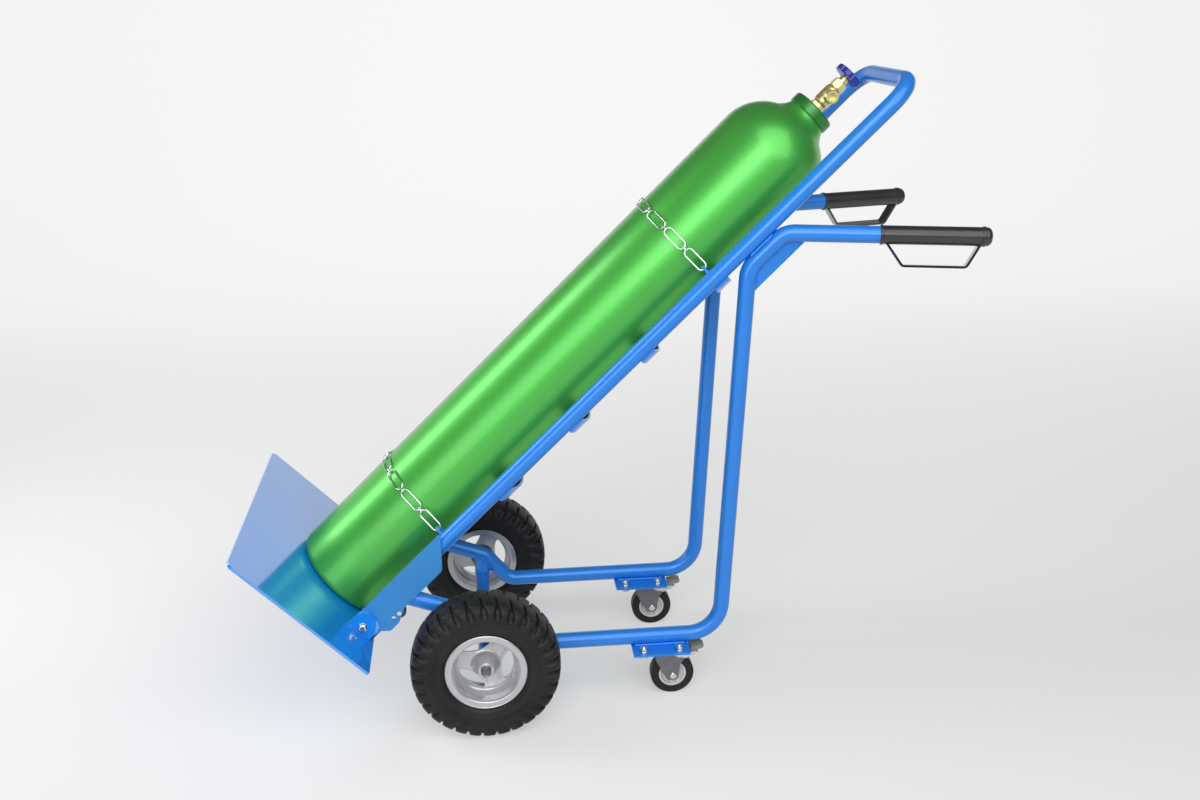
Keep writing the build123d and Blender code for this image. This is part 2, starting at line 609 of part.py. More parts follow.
@cache
def tyre_form():
    """Hollow tyre with slanted lugs round each shoulder of its crown, about Z."""
    half = TYRE_WIDTH / 2
    bead = RIM_WIDTH / 2 - RIM_SHEET - WELD_GAP
    low = BEAD_R + WELD_GAP
    outer = [(low, bead), (FLANGE_R + 1.5, bead), (FLANGE_R + 4, bead + 3), (SIDE_R, half)]
    corner = WHEEL_R - SHOULDER_DROP
    outer += [(corner, SHOULDER_A), (WHEEL_R - 3, SHOULDER_A - 9), (WHEEL_R, 0)]
    inner = [(WHEEL_R - TREAD_THICK, 0), (WHEEL_R - TREAD_THICK - 3, half - 18)]
    inner += [(WHEEL_R - TYRE_WALL_TOP, half - TYRE_WALL), (WHEEL_R - TYRE_WALL_FOOT, half - TYRE_WALL)]
    inner += [(FLANGE_R + 2, bead - TYRE_WALL + 2), (low, bead - TYRE_WALL)]
    points = outer + inner
    outside = min(SIDEWALL_ROUND, 0.9 * (corner - SIDE_R))
    inside = min(SIDEWALL_ROUND, 1.2 * (WHEEL_R - TYRE_WALL_FOOT - FLANGE_R - 2))
    radii = [2, 2, 2, outside, 5, 5, 0, 0, 4, 6, inside, 6, 1]
    upper = make_face(FilletPolyline(*points, radius=radii, close=True))
    section = upper + mirror(upper, about=Plane.XZ)
    body = revolve(Plane.XZ * section, axis=Axis.Z)
    groove = [(WHEEL_R - LUG_DEPTH, CROWN_GROOVE), (WHEEL_R - 3 - LUG_DEPTH, SHOULDER_A - 9)]
    groove += [(WHEEL_R - 13, SHOULDER_A - LUG_DEPTH), (SIDE_R, half), (SIDE_R, half + 5)]
    groove += [(WHEEL_R + 5, half + 5), (WHEEL_R + 5, CROWN_GROOVE)]
    slot = extrude(Plane.XZ * make_face(Polyline(*groove, close=True)), amount=LUG_GAP / 2, both=True)
    cutters = []
    for turn_over in (False, True):
        for index in range(LUG_COUNT):
            turn = 360 / LUG_COUNT * (index + (0.5 if turn_over else 0))
            one = Rot(LUG_SKEW, 0, 0) * slot
            cutters.append(Rot(0, 0, turn) * (mirror(one, about=Plane.XY) if turn_over else one))
    return body - cutters


def tyre(side):
    return wheel_plane(side) * tyre_form()


def inner_tube(side):
    """Rubber air tube that fills the tyre, on the rim's well."""
    half = TYRE_WIDTH / 2 - TYRE_WALL - 1
    foot = BEAD_R + WELD_GAP
    top = WHEEL_R - TREAD_THICK - 4
    wide_r = WHEEL_R - TREAD_THICK - TYRE_WALL_TOP - 1
    upper = [(top, half - 12), (wide_r, half), (foot, INNER_TUBE_FOOT)]
    lower = [(r, -a) for r, a in reversed(upper)]
    ring = rounded_face(lower + upper, [8] + 4 * [INNER_TUBE_ROUND] + [8])
    ring -= offset(ring, -INNER_TUBE_WALL)
    return wheel_plane(side) * revolve(Plane.XZ * ring, axis=Axis.Z)


@cache
def rim_form():
    """Dished outer half of the rim: rolled flange, bowl, slotted disc with ridges, hub cone and tube."""
    half = RIM_WIDTH / 2
    lip = half - RIM_SHEET / 2
    well = BEAD_R - RIM_SHEET / 2
    cone_top = (HUB_OD / 2, HUB_OUT_A - RIM_SHEET)
    line = FilletPolyline((FLANGE_R - 1, lip), (well, lip), (well, DISH_A), (HUB_FOOT_R, DISH_A), cone_top,
                          radius=[3, 5, 8])
    sheet = revolve(Plane.XZ * trace(line, line_width=RIM_SHEET), axis=Axis.Z)
    bore = BEARING_OD / 2 + WELD_GAP
    hub_r = HUB_OD / 2
    hub = turned([(bore, HUB_IN_A), (hub_r, HUB_IN_A), (hub_r, HUB_OUT_A), (bore, HUB_OUT_A)], [0, 1, 1, 0])
    lens = Circle(SLOT_EDGE_R) & Pos(2 * SLOT_R, 0) * Circle(SLOT_EDGE_R)
    slot = Pos(0, 0, DISH_A - RIM_SHEET) * extrude(fillet(lens.vertices(), 3), amount=2 * RIM_SHEET)
    wire = Plane.XZ * Pos(SLOT_EDGE_R + RIDGE_OUT, 0) * Circle(RIDGE_R)
    wire = revolve(wire, axis=Axis.Z, revolution_arc=RIDGE_ARC)
    ridge = Pos(2 * SLOT_R, 0, DISH_A + RIM_SHEET / 2) * Rot(0, 0, 180 - RIDGE_ARC / 2) * wire
    body = sheet + hub
    for index in range(SLOT_COUNT):
        turn = Rot(0, 0, -SLOT_TURN - index * 360 / SLOT_COUNT)
        body = body - turn * slot + turn * ridge
    return body - bar((0, 0, HUB_IN_A - 1), (0, 0, HUB_OUT_A + 1), bore)


def rim(side):
    return wheel_plane(side) * rim_form()


def rim_back(side):
    """Inner half of the rim, joined back to back with the outer half's disc."""
    half = RIM_WIDTH / 2
    lip = -half + RIM_SHEET / 2
    well = BEAD_R - RIM_SHEET / 2
    seat = DISH_A - RIM_SHEET - WELD_GAP
    points = [(FLANGE_R - 1, lip), (well, lip), (well, seat), (SLOT_EDGE_R + 2, seat)]
    line = FilletPolyline(*points, radius=[3, 4])
    return wheel_plane(side) * revolve(Plane.XZ * trace(line, line_width=RIM_SHEET), axis=Axis.Z)


def hub_bearings(side):
    """The two sealed needle bearings pressed into a hub."""
    bore = AXLE_D / 2 + RUNNING_FIT
    outer = BEARING_OD / 2
    inner_lip = bore + BEARING_LIP
    outer_lip = outer - BEARING_LIP
    race = [(bore, 0), (inner_lip, 0), (inner_lip, BEARING_SEAL_DEPTH)]
    race += [(outer_lip, BEARING_SEAL_DEPTH), (outer_lip, 0), (outer, 0)]
    back = [(r, BEARING_WIDTH - z) for r, z in reversed(race)]
    bearing = turned(race + back)
    low = Pos(0, 0, HUB_IN_A + 1) * bearing
    high = Pos(0, 0, HUB_OUT_A - 1 - BEARING_WIDTH) * bearing
    return [wheel_plane(side) * low, wheel_plane(side) * high]


# ---- braked casters ------------------------------------------------------------------------------------
def caster_plane(side, z=0.0):
    return Plane(origin=(CASTER_X, side * RAIL_Y, z), x_dir=(1, 0, 0), z_dir=(0, 0, 1))


def bolt_places():
    return [Pos(x * BOLT_SPACING_X / 2, y * BOLT_SPACING_Y / 2) for x in (-1, 1) for y in (-1, 1)]


def caster_bracket(side):
    """Painted plate welded under the side frame, drilled for the caster."""
    face = RectangleRounded(BRACKET_LENGTH, BRACKET_WIDTH, 4)
    for place in bolt_places():
        face -= place * Circle(CASTER_BOLT_D / 2 + 0.4)
    return caster_plane(side, CASTER_TOP) * extrude(face, amount=BRACKET_THICK)


def caster_plate(side):
    """Zinc top plate of a caster with its pressed ball race and the kingpin's hole."""
    face = RectangleRounded(CASTER_PLATE_LENGTH, CASTER_PLATE_WIDTH, 6)
    for place in bolt_places():
        face -= place * SlotOverall(CASTER_BOLT_D + 4, CASTER_BOLT_D + 0.8)
    plate = Pos(0, 0, -CASTER_PLATE_THICK) * extrude(face, amount=CASTER_PLATE_THICK - WELD_GAP)
    low = -CASTER_PLATE_THICK - RACE_HEIGHT
    race_r = RACE_OD / 2
    high = low + RACE_HEIGHT + 1
    race = turned([(0, low), (race_r - 3, low), (race_r, low + 3), (race_r, high), (0, high)])
    bore = Pos(0, 0, low - 1) * extrude(Circle(KINGPIN_D / 2 + RUNNING_FIT), amount=RACE_HEIGHT + 8)
    return caster_plane(side, CASTER_TOP) * (plate + race - bore)


def caster_bolts():
    """Bolts up through each caster's top plate and bracket, and their nuts."""
    shank_r = CASTER_BOLT_D / 2
    top = BRACKET_THICK + 1.6 + 0.8 * CASTER_BOLT_D + 3
    bolt = Pos(0, 0, -CASTER_PLATE_THICK - 5.3) * extrude(hexagon(13), amount=5.3 - WELD_GAP)
    length = CASTER_PLATE_THICK + 1 + top
    shank = turned([(0, 0), (shank_r, 0), (shank_r, length), (0, length)], [0, 0, 1.5, 0])
    bolt += Pos(0, 0, -CASTER_PLATE_THICK - 1) * shank
    nut = extrude(Circle(8) - Circle(shank_r + WELD_GAP), amount=1.6)
    nut += Pos(0, 0, 1.6) * extrude(hexagon(13) - Circle(shank_r + WELD_GAP), amount=0.8 * CASTER_BOLT_D)
    pieces = []
    for _, side in both_sides():
        for place in bolt_places():
            pieces.append(caster_plane(side, CASTER_TOP) * place * bolt)
            pieces.append(caster_plane(side, BRACKET_TOP + WELD_GAP) * place * nut)
    return pieces


def caster_fork(side):
    """Pressed fork: crown, kingpin, and two tapering legs bored for the axle and the pedal's pin."""
    leg_in = CASTER_WIDTH / 2 + FORK_GAP
    leg_out = leg_in + FORK_SHEET
    crown_low = CROWN_TOP - FORK_SHEET
    crown = Circle(FORK_CROWN_R)
    crown += Pos((PEDAL_PIN_X + 6) / 2, 0) * Rectangle(PEDAL_PIN_X + 6, 2 * leg_out)
    body = Pos(0, 0, crown_low) * extrude(crown, amount=FORK_SHEET)
    body += Pos(0, 0, crown_low) * extrude(Circle(KINGPIN_D / 2), amount=RACE_TOP + 2 - crown_low)
    outline = [(-10, crown_low + 1), (-8, crown_low - 12)]
    outline += [(CASTER_TRAIL - FORK_BOSS_R, CASTER_R - FORK_BOSS_R)]
    outline += [(CASTER_TRAIL + FORK_BOSS_R, CASTER_R - FORK_BOSS_R), (CASTER_TRAIL + 13, CASTER_R + 22)]
    outline += [(PEDAL_PIN_X + 6, PEDAL_PIN_Z - 6), (PEDAL_PIN_X + 6, crown_low + 1)]
    face = rounded_face(outline, [0, 12, FORK_BOSS_R - 0.5, FORK_BOSS_R - 0.5, 14, 5, 0])
    face -= Pos(CASTER_TRAIL, CASTER_R) * Circle(CASTER_AXLE_D / 2 + WELD_GAP)
    face -= Pos(PEDAL_PIN_X, PEDAL_PIN_Z) * Circle(PEDAL_PIN_D / 2 + RUNNING_FIT)
    for sign in (-1, 1):
        plane = Plane(origin=(0, sign * leg_in, 0), x_dir=(1, 0, 0), z_dir=(0, -1, 0))
        body += extrude(plane * face, amount=-sign * FORK_SHEET)
    return caster_plane(side) * body


def caster_axle(side):
    """Shouldered axle with a domed head outside each fork leg."""
    out = CASTER_WIDTH / 2 + FORK_GAP + FORK_SHEET + WELD_GAP
    pin_r = CASTER_AXLE_D / 2
    half = [(0, 0), (pin_r, 0), (pin_r, out), (CASTER_HEAD_R, out), (CASTER_HEAD_R, out + 4), (0, out + 4)]
    part = turned(half, [0, 0, 0, 0, 3, 0])
    whole = part + mirror(part, about=Plane.XY)
    return caster_plane(side) * Plane(origin=(CASTER_TRAIL, 0, CASTER_R), z_dir=(0, 1, 0)) * whole


def caster_wheel_plane(side):
    return caster_plane(side) * Plane(origin=(CASTER_TRAIL, 0, CASTER_R), x_dir=(1, 0, 0), z_dir=(0, 1, 0))


def caster_tread(side):
    half = CASTER_WIDTH / 2
    bore = CASTER_CORE_R + WELD_GAP
    outline = [(bore, -half), (CASTER_R, -half), (CASTER_R, half), (bore, half)]
    return caster_wheel_plane(side) * turned(outline, [1, 4, 4, 1])


def caster_core(side):
    """Moulded wheel centre: rim, web and hub, bored for the axle."""
    half = CASTER_WIDTH / 2 - 1
    bore = CASTER_AXLE_D / 2 + RUNNING_FIT
    hub = bore + 4
    rim_r = CASTER_CORE_R
    points = [(bore, -half - 2), (hub, -half - 2), (hub + 1, -4)]
    points += [(rim_r - 4, -4), (rim_r - 3, -half), (rim_r, -half)]
    back = [(r, -z) for r, z in reversed(points)]
    body = turned(points + back)
    rib = Box(rim_r - hub - 2, 2, 2 * half - 4, align=(Align.MIN, Align.CENTER, Align.CENTER))
    for index in range(6):
        body += Rot(0, 0, index * 60) * Pos(hub - 0.5, 0, 0) * rib
    return caster_wheel_plane(side) * body


def pedal_plane(side):
    """Brake pedal's frame: origin on its pin, X outward from the caster, Y along the pin, Z up."""
    return caster_plane(side) * Plane(origin=(PEDAL_PIN_X, 0, PEDAL_PIN_Z), x_dir=(1, 0, 0), z_dir=(0, 0, 1))


def pad_plane():
    """Seat of the brake pad on the pedal's web, tilted up and away from the caster."""
    tilt = radians(PAD_TILT)
    along = (cos(tilt), 0, sin(tilt))
    return Plane(origin=(PAD_START_X, 0, PAD_SEAT_Z), x_dir=along, z_dir=(-sin(tilt), 0, cos(tilt)))


def brake_pedal(side):
    """Pressed pedal: two arms on a pin through the fork, a web across them, and a shoe above the tread."""
    arm_in = CASTER_WIDTH / 2 + FORK_GAP + FORK_SHEET + PLAY
    arm_out = arm_in + PEDAL_SHEET
    outline = [(-5.5, -5.5), (7, -5.5), (PAD_START_X + 8, 3), (PAD_START_X + 8, 8), (12, 6), (-5.5, 5.5)]
    face = rounded_face(outline, [5, 6, 2, 2, 6, 5])
    body = bar((0, -arm_out, 0), (0, arm_out, 0), PEDAL_PIN_D / 2)
    for sign in (-1, 1):
        plane = Plane(origin=(0, sign * arm_in, 0), x_dir=(1, 0, 0), z_dir=(0, -1, 0))
        body += extrude(plane * face, amount=-sign * PEDAL_SHEET)
    body += pad_plane() * Pos(2, 0, -PEDAL_SHEET / 2) * Box(20, 2 * arm_out, PEDAL_SHEET)
    shoe = Pos(10.5, 0, -3) * Box(5, CASTER_WIDTH - 6, 16)
    pressed = Rot(0, -PEDAL_TRAVEL, 0) * Pos(CASTER_TRAIL - PEDAL_PIN_X, 0, CASTER_R - PEDAL_PIN_Z)
    tread = bar((0, -CASTER_WIDTH, 0), (0, CASTER_WIDTH, 0), CASTER_R + 2 * PLAY)
    return pedal_plane(side) * (body + shoe - pressed * tread)


def brake_pad(side):
    """Moulded foot pad on the pedal."""
    pad = Box(BRAKE_PAD_LENGTH, BRAKE_PAD_WIDTH, BRAKE_PAD_THICK, align=(Align.MIN, Align.CENTER, Align.MIN))
    pad = fillet(pad.edges().filter_by(Axis.Z).group_by(Axis.X)[-1], 9)
    pad = fillet(pad.edges().group_by(Axis.Z)[-1], 1.5)
    return pedal_plane(side) * pad_plane().location * Pos(0, 0, WELD_GAP) * pad


# ---- gas cylinder and valve ----------------------------------------------------------------------------
def shoulder(radius, height, end_r):
    """Elliptical shoulder edge from the straight wall in to end_r."""
    return EllipticalCenterArc((0, CYL_SHOULDER_U), radius, height, arc_size=degrees(acos(end_r / radius)))


def cylinder():
    """Seamless steel gas cylinder: rounded foot, straight wall, domed shoulder, flared neck; hollow."""
    foot = TOE_U + PLAY
    height = (CREASE_U - CYL_SHOULDER_U) / sin(acos(CREASE_R / CYL_R))
    dome = shoulder(CYL_R, height, CREASE_R)
    seat_r = NECK_R - 8
    crease = Vector(CREASE_R - 1.5, CREASE_U + 0.5)
    neck_top = Vector(NECK_R, COLLAR_U - WELD_GAP)
    waist = ThreePointArc(crease, (crease + neck_top) / 2 - Vector(1.5, 1.5), neck_top)
    wall = FilletPolyline(dome @ 0, (CYL_R, foot), (0, foot), radius=[CYL_FOOT_ROUND])
    end = COLLAR_TOP - 2
    top = Polyline(waist @ 1, (seat_r, COLLAR_U - WELD_GAP), (seat_r, end), (0, end), (0, foot))
    outside = make_face([wall, dome, Line(dome @ 1, crease), waist, top])
    inner_r = CYL_R - CYL_WALL
    hollow_dome = shoulder(inner_r, height - CYL_WALL, NECK_BORE / 2)
    floor = FilletPolyline(hollow_dome @ 0, (inner_r, foot + CYL_WALL), (0, foot + CYL_WALL),
                           radius=[CYL_FOOT_ROUND - CYL_WALL])
    bore = Polyline(hollow_dome @ 1, (NECK_BORE / 2, COLLAR_TOP), (0, COLLAR_TOP), (0, foot + CYL_WALL))
    hollow = make_face([floor, hollow_dome, bore])
    return CYL_AXIS * revolve(Plane.XZ * (outside - hollow), axis=Axis.Z)


def neck_ring():
    """Ring shrunk on the neck, threaded on real cylinders for a transport cap."""
    bore = NECK_R - 8 + WELD_GAP
    outline = [(bore, COLLAR_U), (COLLAR_R, COLLAR_U), (COLLAR_R, COLLAR_TOP), (bore, COLLAR_TOP)]
    return CYL_AXIS * turned(outline, [0, 2, 4, 1])


def valve_body():
    """Brass valve: inlet stub, hex, barrel, side outlet with its bore, and the relief plug opposite."""
    stub_r = NECK_BORE / 2 - WELD_GAP
    barrel_r = VALVE_BODY_D / 2
    barrel_low = COLLAR_TOP + VALVE_HEX_HEIGHT
    body = Pos(0, 0, COLLAR_TOP - VALVE_STUB) * extrude(Circle(stub_r), amount=VALVE_STUB + 1)
    body += Pos(0, 0, COLLAR_TOP + WELD_GAP) * extrude(hexagon(VALVE_HEX), amount=VALVE_HEX_HEIGHT)
    top = barrel_low + VALVE_BODY_HEIGHT
    body += turned([(0, barrel_low - 1), (barrel_r - 3, barrel_low - 1), (barrel_r, barrel_low + 5),
                    (barrel_r, top - 5), (barrel_r - 3, top), (0, top)])
    outlet_u = COLLAR_TOP + OUTLET_HEIGHT
    body += bar((-OUTLET_REACH, 0, outlet_u), (0, 0, outlet_u), OUTLET_R)
    body += bar((-OUTLET_REACH + 12, 0, outlet_u), (0, 0, outlet_u), OUTLET_R + 1.5)
    plug = Plane(origin=(barrel_r - 2, 0, outlet_u), z_dir=(1, 0, 0)) * extrude(hexagon(14), amount=9)
    body += plug
    body -= bar((-OUTLET_REACH - 1, 0, outlet_u), (-OUTLET_REACH + OUTLET_DEPTH, 0, outlet_u), OUTLET_BORE_R)
    body -= bar((0, 0, top - SPINDLE_DEPTH), (0, 0, top + 1), SPINDLE_D / 2 + RUNNING_FIT)
    return CYL_AXIS * body


def valve_bonnet():
    """Bonnet hex and gland nut that the spindle turns in."""
    bonnet = extrude(hexagon(BONNET_HEX), amount=BONNET_HEIGHT)
    flat = BONNET_HEX / 2
    corner = flat + 1.6
    top = BONNET_HEIGHT
    cone = turned([(0, -1), (flat - 1, -1), (corner, 2), (corner, top - 2), (flat - 0.5, top),
                   (flat - 0.5, top + 1), (0, top + 1)])
    body = (bonnet & cone) + Pos(0, 0, BONNET_HEIGHT) * extrude(Circle(GLAND_D / 2), amount=GLAND_HEIGHT)
    body -= extrude(Circle(SPINDLE_D / 2 + RUNNING_FIT), amount=BONNET_HEIGHT + GLAND_HEIGHT)
    return CYL_AXIS * Pos(0, 0, BONNET_U) * body


def valve_spindle():
    """Spindle from the valve's seat to the nut above the handwheel."""
    low = BONNET_U - SPINDLE_DEPTH + 2
    top = HANDWHEEL_U + HANDWHEEL_THICK
    spindle = bar((0, 0, low), (0, 0, top + 2), SPINDLE_D / 2)
    spindle += Pos(0, 0, top - 2) * extrude(hexagon(SPINDLE_D + 4), amount=4)
    return CYL_AXIS * spindle


def handwheel():
    """Lobed handwheel with a hub and a dished top."""
    radius = HANDWHEEL_D / 2
    wheel = extrude(Circle(radius), amount=HANDWHEEL_THICK)
    wheel = fillet(wheel.edges(), 2.5)
    scallop = extrude(Circle(6), amount=HANDWHEEL_THICK)
    for index in range(HANDWHEEL_LOBES):
        wheel -= Rot(0, 0, (index + 0.5) * 360 / HANDWHEEL_LOBES) * Pos(radius + 2.6, 0, 0) * scallop
    wheel -= Pos(0, 0, HANDWHEEL_THICK - 3) * extrude(Circle(radius - 8) - Circle(SPINDLE_D + 1), amount=3)
    wheel -= extrude(Circle(SPINDLE_D / 2 + WELD_GAP), amount=HANDWHEEL_THICK)
    wheel -= Pos(0, 0, HANDWHEEL_THICK - 2 - WELD_GAP) * extrude(Circle(SPINDLE_D), amount=3)
    return CYL_AXIS * Pos(0, 0, HANDWHEEL_U) * wheel


# ---- every piece ---------------------------------------------------------------------------------------
def all_pieces():
    """Every node of the cart by name."""
    pieces = {"main_hoop": main_hoop(), "roller_pins": roller_pins(), "rubber_buffers": rubber_buffers()}
    pieces["toe_plate"] = toe_plate()
    pieces["toe_plate_bolts"] = toe_plate_bolts()
    pieces["axle_tube"] = axle_tube()
    pieces["axle"] = axle()
    pieces["axle_end_fittings"] = axle_end_fittings()
    pieces["caster_bolts"] = caster_bolts()
    pieces["chain_tabs"] = chain_tabs()
    pieces["lower_chain"] = chain(LOWER_CHAIN_U)
    pieces["upper_chain"] = chain(UPPER_CHAIN_U)
    for index in range(STRAP_COUNT):
        pieces[f"saddle_strap_{index + 1}"] = saddle_strap(index)
    for name, side in both_sides():
        envelope = side_frame_envelope(side)
        pieces[f"side_frame_{name}"] = side_frame(side)
        pieces[f"corner_gusset_{name}"] = corner_gusset(side, envelope)
        pieces[f"axle_post_{name}"] = axle_post(side, envelope)
        for build in PAIRED:
            pieces[f"{build.__name__}_{name}"] = build(side)
    for build in (cylinder, neck_ring, valve_body, valve_bonnet, valve_spindle, handwheel):
        pieces[build.__name__] = build()
    return pieces


PAIRED = (side_plate, grip, hand_guard, caster_bracket, tyre, inner_tube, rim, rim_back, hub_bearings,
          caster_plate, caster_fork, caster_axle, caster_tread, caster_core, brake_pedal, brake_pad)


def write_pieces():
    os.makedirs("parts", exist_ok=True)
    for name, shape in all_pieces().items():
        made = shape if isinstance(shape, list) else [shape]
        solids = [solid for piece in made for solid in piece.solids()]
        placed = [Pos(FRAME_SHIFT, 0, 0) * solid for solid in solids]
        export_step(placed[0] if len(placed) == 1 else Compound(children=placed), f"parts/{name}.step")


write_pieces()
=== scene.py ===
"""Dresses a gas cylinder trolley: paint, tyres, rims, hubs, chains, welds, valve and studio."""
import json
import math

import bmesh
import bpy
from bpy.props import FloatProperty, FloatVectorProperty, IntProperty, PointerProperty
from bpy.types import Operator, Panel, PropertyGroup
from mathutils import Euler, Matrix, Vector
from mathutils.bvhtree import BVHTree
from mathutils.geometry import interpolate_bezier


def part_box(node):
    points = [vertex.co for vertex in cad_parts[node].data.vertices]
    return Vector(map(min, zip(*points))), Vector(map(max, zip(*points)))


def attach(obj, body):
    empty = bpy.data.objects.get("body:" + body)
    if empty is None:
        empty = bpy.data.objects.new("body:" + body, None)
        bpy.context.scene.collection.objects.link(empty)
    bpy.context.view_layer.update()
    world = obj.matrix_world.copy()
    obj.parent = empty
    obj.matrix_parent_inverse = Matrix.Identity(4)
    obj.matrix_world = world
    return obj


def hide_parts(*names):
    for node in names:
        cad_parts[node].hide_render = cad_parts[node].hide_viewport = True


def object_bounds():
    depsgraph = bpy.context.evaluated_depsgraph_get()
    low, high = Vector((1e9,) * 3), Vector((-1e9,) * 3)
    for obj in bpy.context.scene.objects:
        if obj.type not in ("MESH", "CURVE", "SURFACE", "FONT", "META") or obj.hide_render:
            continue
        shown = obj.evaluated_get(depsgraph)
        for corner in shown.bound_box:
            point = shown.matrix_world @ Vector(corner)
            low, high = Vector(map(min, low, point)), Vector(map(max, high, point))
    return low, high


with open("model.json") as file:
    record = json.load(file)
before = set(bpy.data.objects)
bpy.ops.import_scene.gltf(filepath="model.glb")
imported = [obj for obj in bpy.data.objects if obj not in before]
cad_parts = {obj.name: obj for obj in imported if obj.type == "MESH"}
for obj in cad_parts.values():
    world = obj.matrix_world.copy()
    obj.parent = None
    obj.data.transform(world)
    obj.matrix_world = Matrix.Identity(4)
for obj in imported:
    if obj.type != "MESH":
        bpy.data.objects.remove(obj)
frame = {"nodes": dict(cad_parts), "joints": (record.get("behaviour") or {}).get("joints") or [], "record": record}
CAD_BOUNDS = [list(corner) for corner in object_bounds()]

bl_info = {
    "name": "Gas Cylinder Trolley",
    "version": (1, 0, 0),
    "blender": (4, 5, 0),
    "location": "3D View > Sidebar > Trolley",
    "description": "Paint, tyres, chains, welds and studio for a gas cylinder trolley",
    "category": "Object",
}

SIDES = (("left", -1), ("right", 1))
FRAME_BODY = "cart_frame"
MM = 0.001
BEAD_SIDES = 8
# Radius of a bead between and on its ripples, as a share of the bead's own.
BEAD_SWELL = (0.9, 1.12)
SHARP_ANGLE = math.radians(32)
CHAINS = ("lower_chain", "upper_chain")
STRAPS = [f"saddle_strap_{number}" for number in range(1, 5)]


# ---- the frame's own sizes -------------------------------------------------------------------------------
def joint(name):
    """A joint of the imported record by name."""
    return next(entry for entry in frame["joints"] if entry["name"] == name)


def low(node):
    return Vector(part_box(node)[0])


def high(node):
    return Vector(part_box(node)[1])


UP_SLOPE = Vector(joint("cylinder_slide")["axis"]).normalized()
OFF_SLOPE = Vector((-UP_SLOPE.z, 0, UP_SLOPE.x))
TUBE_R = (high("axle_post_left").y - low("axle_post_left").y) / 2
RAIL_Y = high("main_hoop").y - TUBE_R
AXLE = Vector(joint("wheel_spin_left")["pos_m"])
AXLE.y = 0
TRACK = abs(joint("wheel_spin_left")["pos_m"][1])
WHEEL_R = AXLE.z
CYLINDER_POINT = Vector(joint("cylinder_slide")["pos_m"])
CYLINDER_R = high("cylinder").y


def bed(u, v, y=0.0):
    """Point at u up the rails' slope and v square to it, both from the floor below the axle."""
    return Vector((AXLE.x, y, 0)) + UP_SLOPE * u + OFF_SLOPE * v


def slope_place(point):
    """How far up the slope and square to it a point lies."""
    away = point - bed(0, 0)
    return away.dot(UP_SLOPE), away.dot(OFF_SLOPE)


HOOP_TOP = high("main_hoop") - Vector((TUBE_R, 0, TUBE_R))
RAIL_V = slope_place(HOOP_TOP)[1]
RAIL_FOOT_U = (low("main_hoop").x - AXLE.x + (RAIL_V + TUBE_R) * UP_SLOPE.z) / UP_SLOPE.x


# ---- sizes and colours a user would change ---------------------------------------------------------------
def colour(name, description, default):
    return FloatVectorProperty(name=name, description=description, default=default, size=3, min=0, max=1,
                               subtype="COLOR")


def amount(name, description, default, unit="NONE"):
    return FloatProperty(name=name, description=description, default=default, min=0, unit=unit)


def length(name, description, default):
    return amount(name, description, default, "LENGTH")


class TrolleyPaint(PropertyGroup):
    """Colours of the painted and moulded pieces."""
    frame_blue: colour("Frame", "Powder coat on the tubes", (0.016, 0.25, 0.86))
    plate_blue: colour("Side plates", "Powder coat on the side plates", (0.020, 0.27, 0.70))
    toe_blue: colour("Toe plate", "Powder coat on the toe plate", (0.0, 0.3, 1.0))
    cylinder_green: colour("Cylinder", "Enamel on the gas cylinder", (0.085, 0.52, 0.075))
    # The neck ring has the cylinder's own green enamel; this darker colour is painted shade.
    collar_green_with_painted_shade: colour("Neck ring", "Enamel on the cylinder's neck ring", (0.02, 0.22, 0.03))
    wheel_blue: colour("Handwheel", "Plastic of the valve's handwheel", (0.02, 0.025, 0.33))
    rim_silver: colour("Rims", "Silver paint on the rims", (0.56, 0.56, 0.58))
    peel: length("Orange peel", "Size of the ripples in the paint", 0.004)


class TrolleyTyres(PropertyGroup):
    """Tread of the air-filled tyres."""
    blocks: IntProperty(name="Blocks", description="Tread blocks round each shoulder", default=31, min=8)
    depth: length("Tread depth", "Depth of the grooves between the blocks", 0.005)
    skew: FloatProperty(name="Skew", description="Slant of the grooves across the tread",
                        default=math.radians(9), subtype="ANGLE")
    black: colour("Rubber", "Colour of the tyres", (0.006, 0.006, 0.007))


class TrolleyChains(PropertyGroup):
    """Links of the two chains: long ones joined by short ones."""
    wire: length("Wire", "Thickness of the links' wire", 0.0027)
    inside: length("Long link", "Inside length of a long link", 0.0426)
    width: length("Width", "Outside width of a long link", 0.018)
    joining: length("Short link", "Inside length of the short links between them", 0.008)


class TrolleyWelds(PropertyGroup):
    """Weld beads on the frame."""
    bead: length("Bead", "Radius of a weld bead", 0.0026)
    ripple: length("Ripple", "Pitch of the ripples along a bead", 0.0022)


class TrolleyStudio(PropertyGroup):
    """Lamps, floor and camera."""
    floor_grey: colour("Floor", "Colour of the floor and backdrop", (0.5, 0.5, 0.5))
    floor_lift: amount("Floor lift", "How far the floor is lifted to white for the camera", 0.4)
    wall_lift: amount("Wall lift", "How far the wall is lifted to white for the camera", 0.74)
    air: amount("Air", "Light from all round the room", 0.14)
    key: amount("Key lamp", "Power of the large lamp", 80, "POWER")
    side: amount("Side lamp", "Power of the lamp along the cylinder", 32, "POWER")
    strip: amount("Strip lamp", "Power of the long lamp overhead", 13, "POWER")
    lens: FloatProperty(name="Lens", description="Focal length in millimetres", default=35.95, min=1)


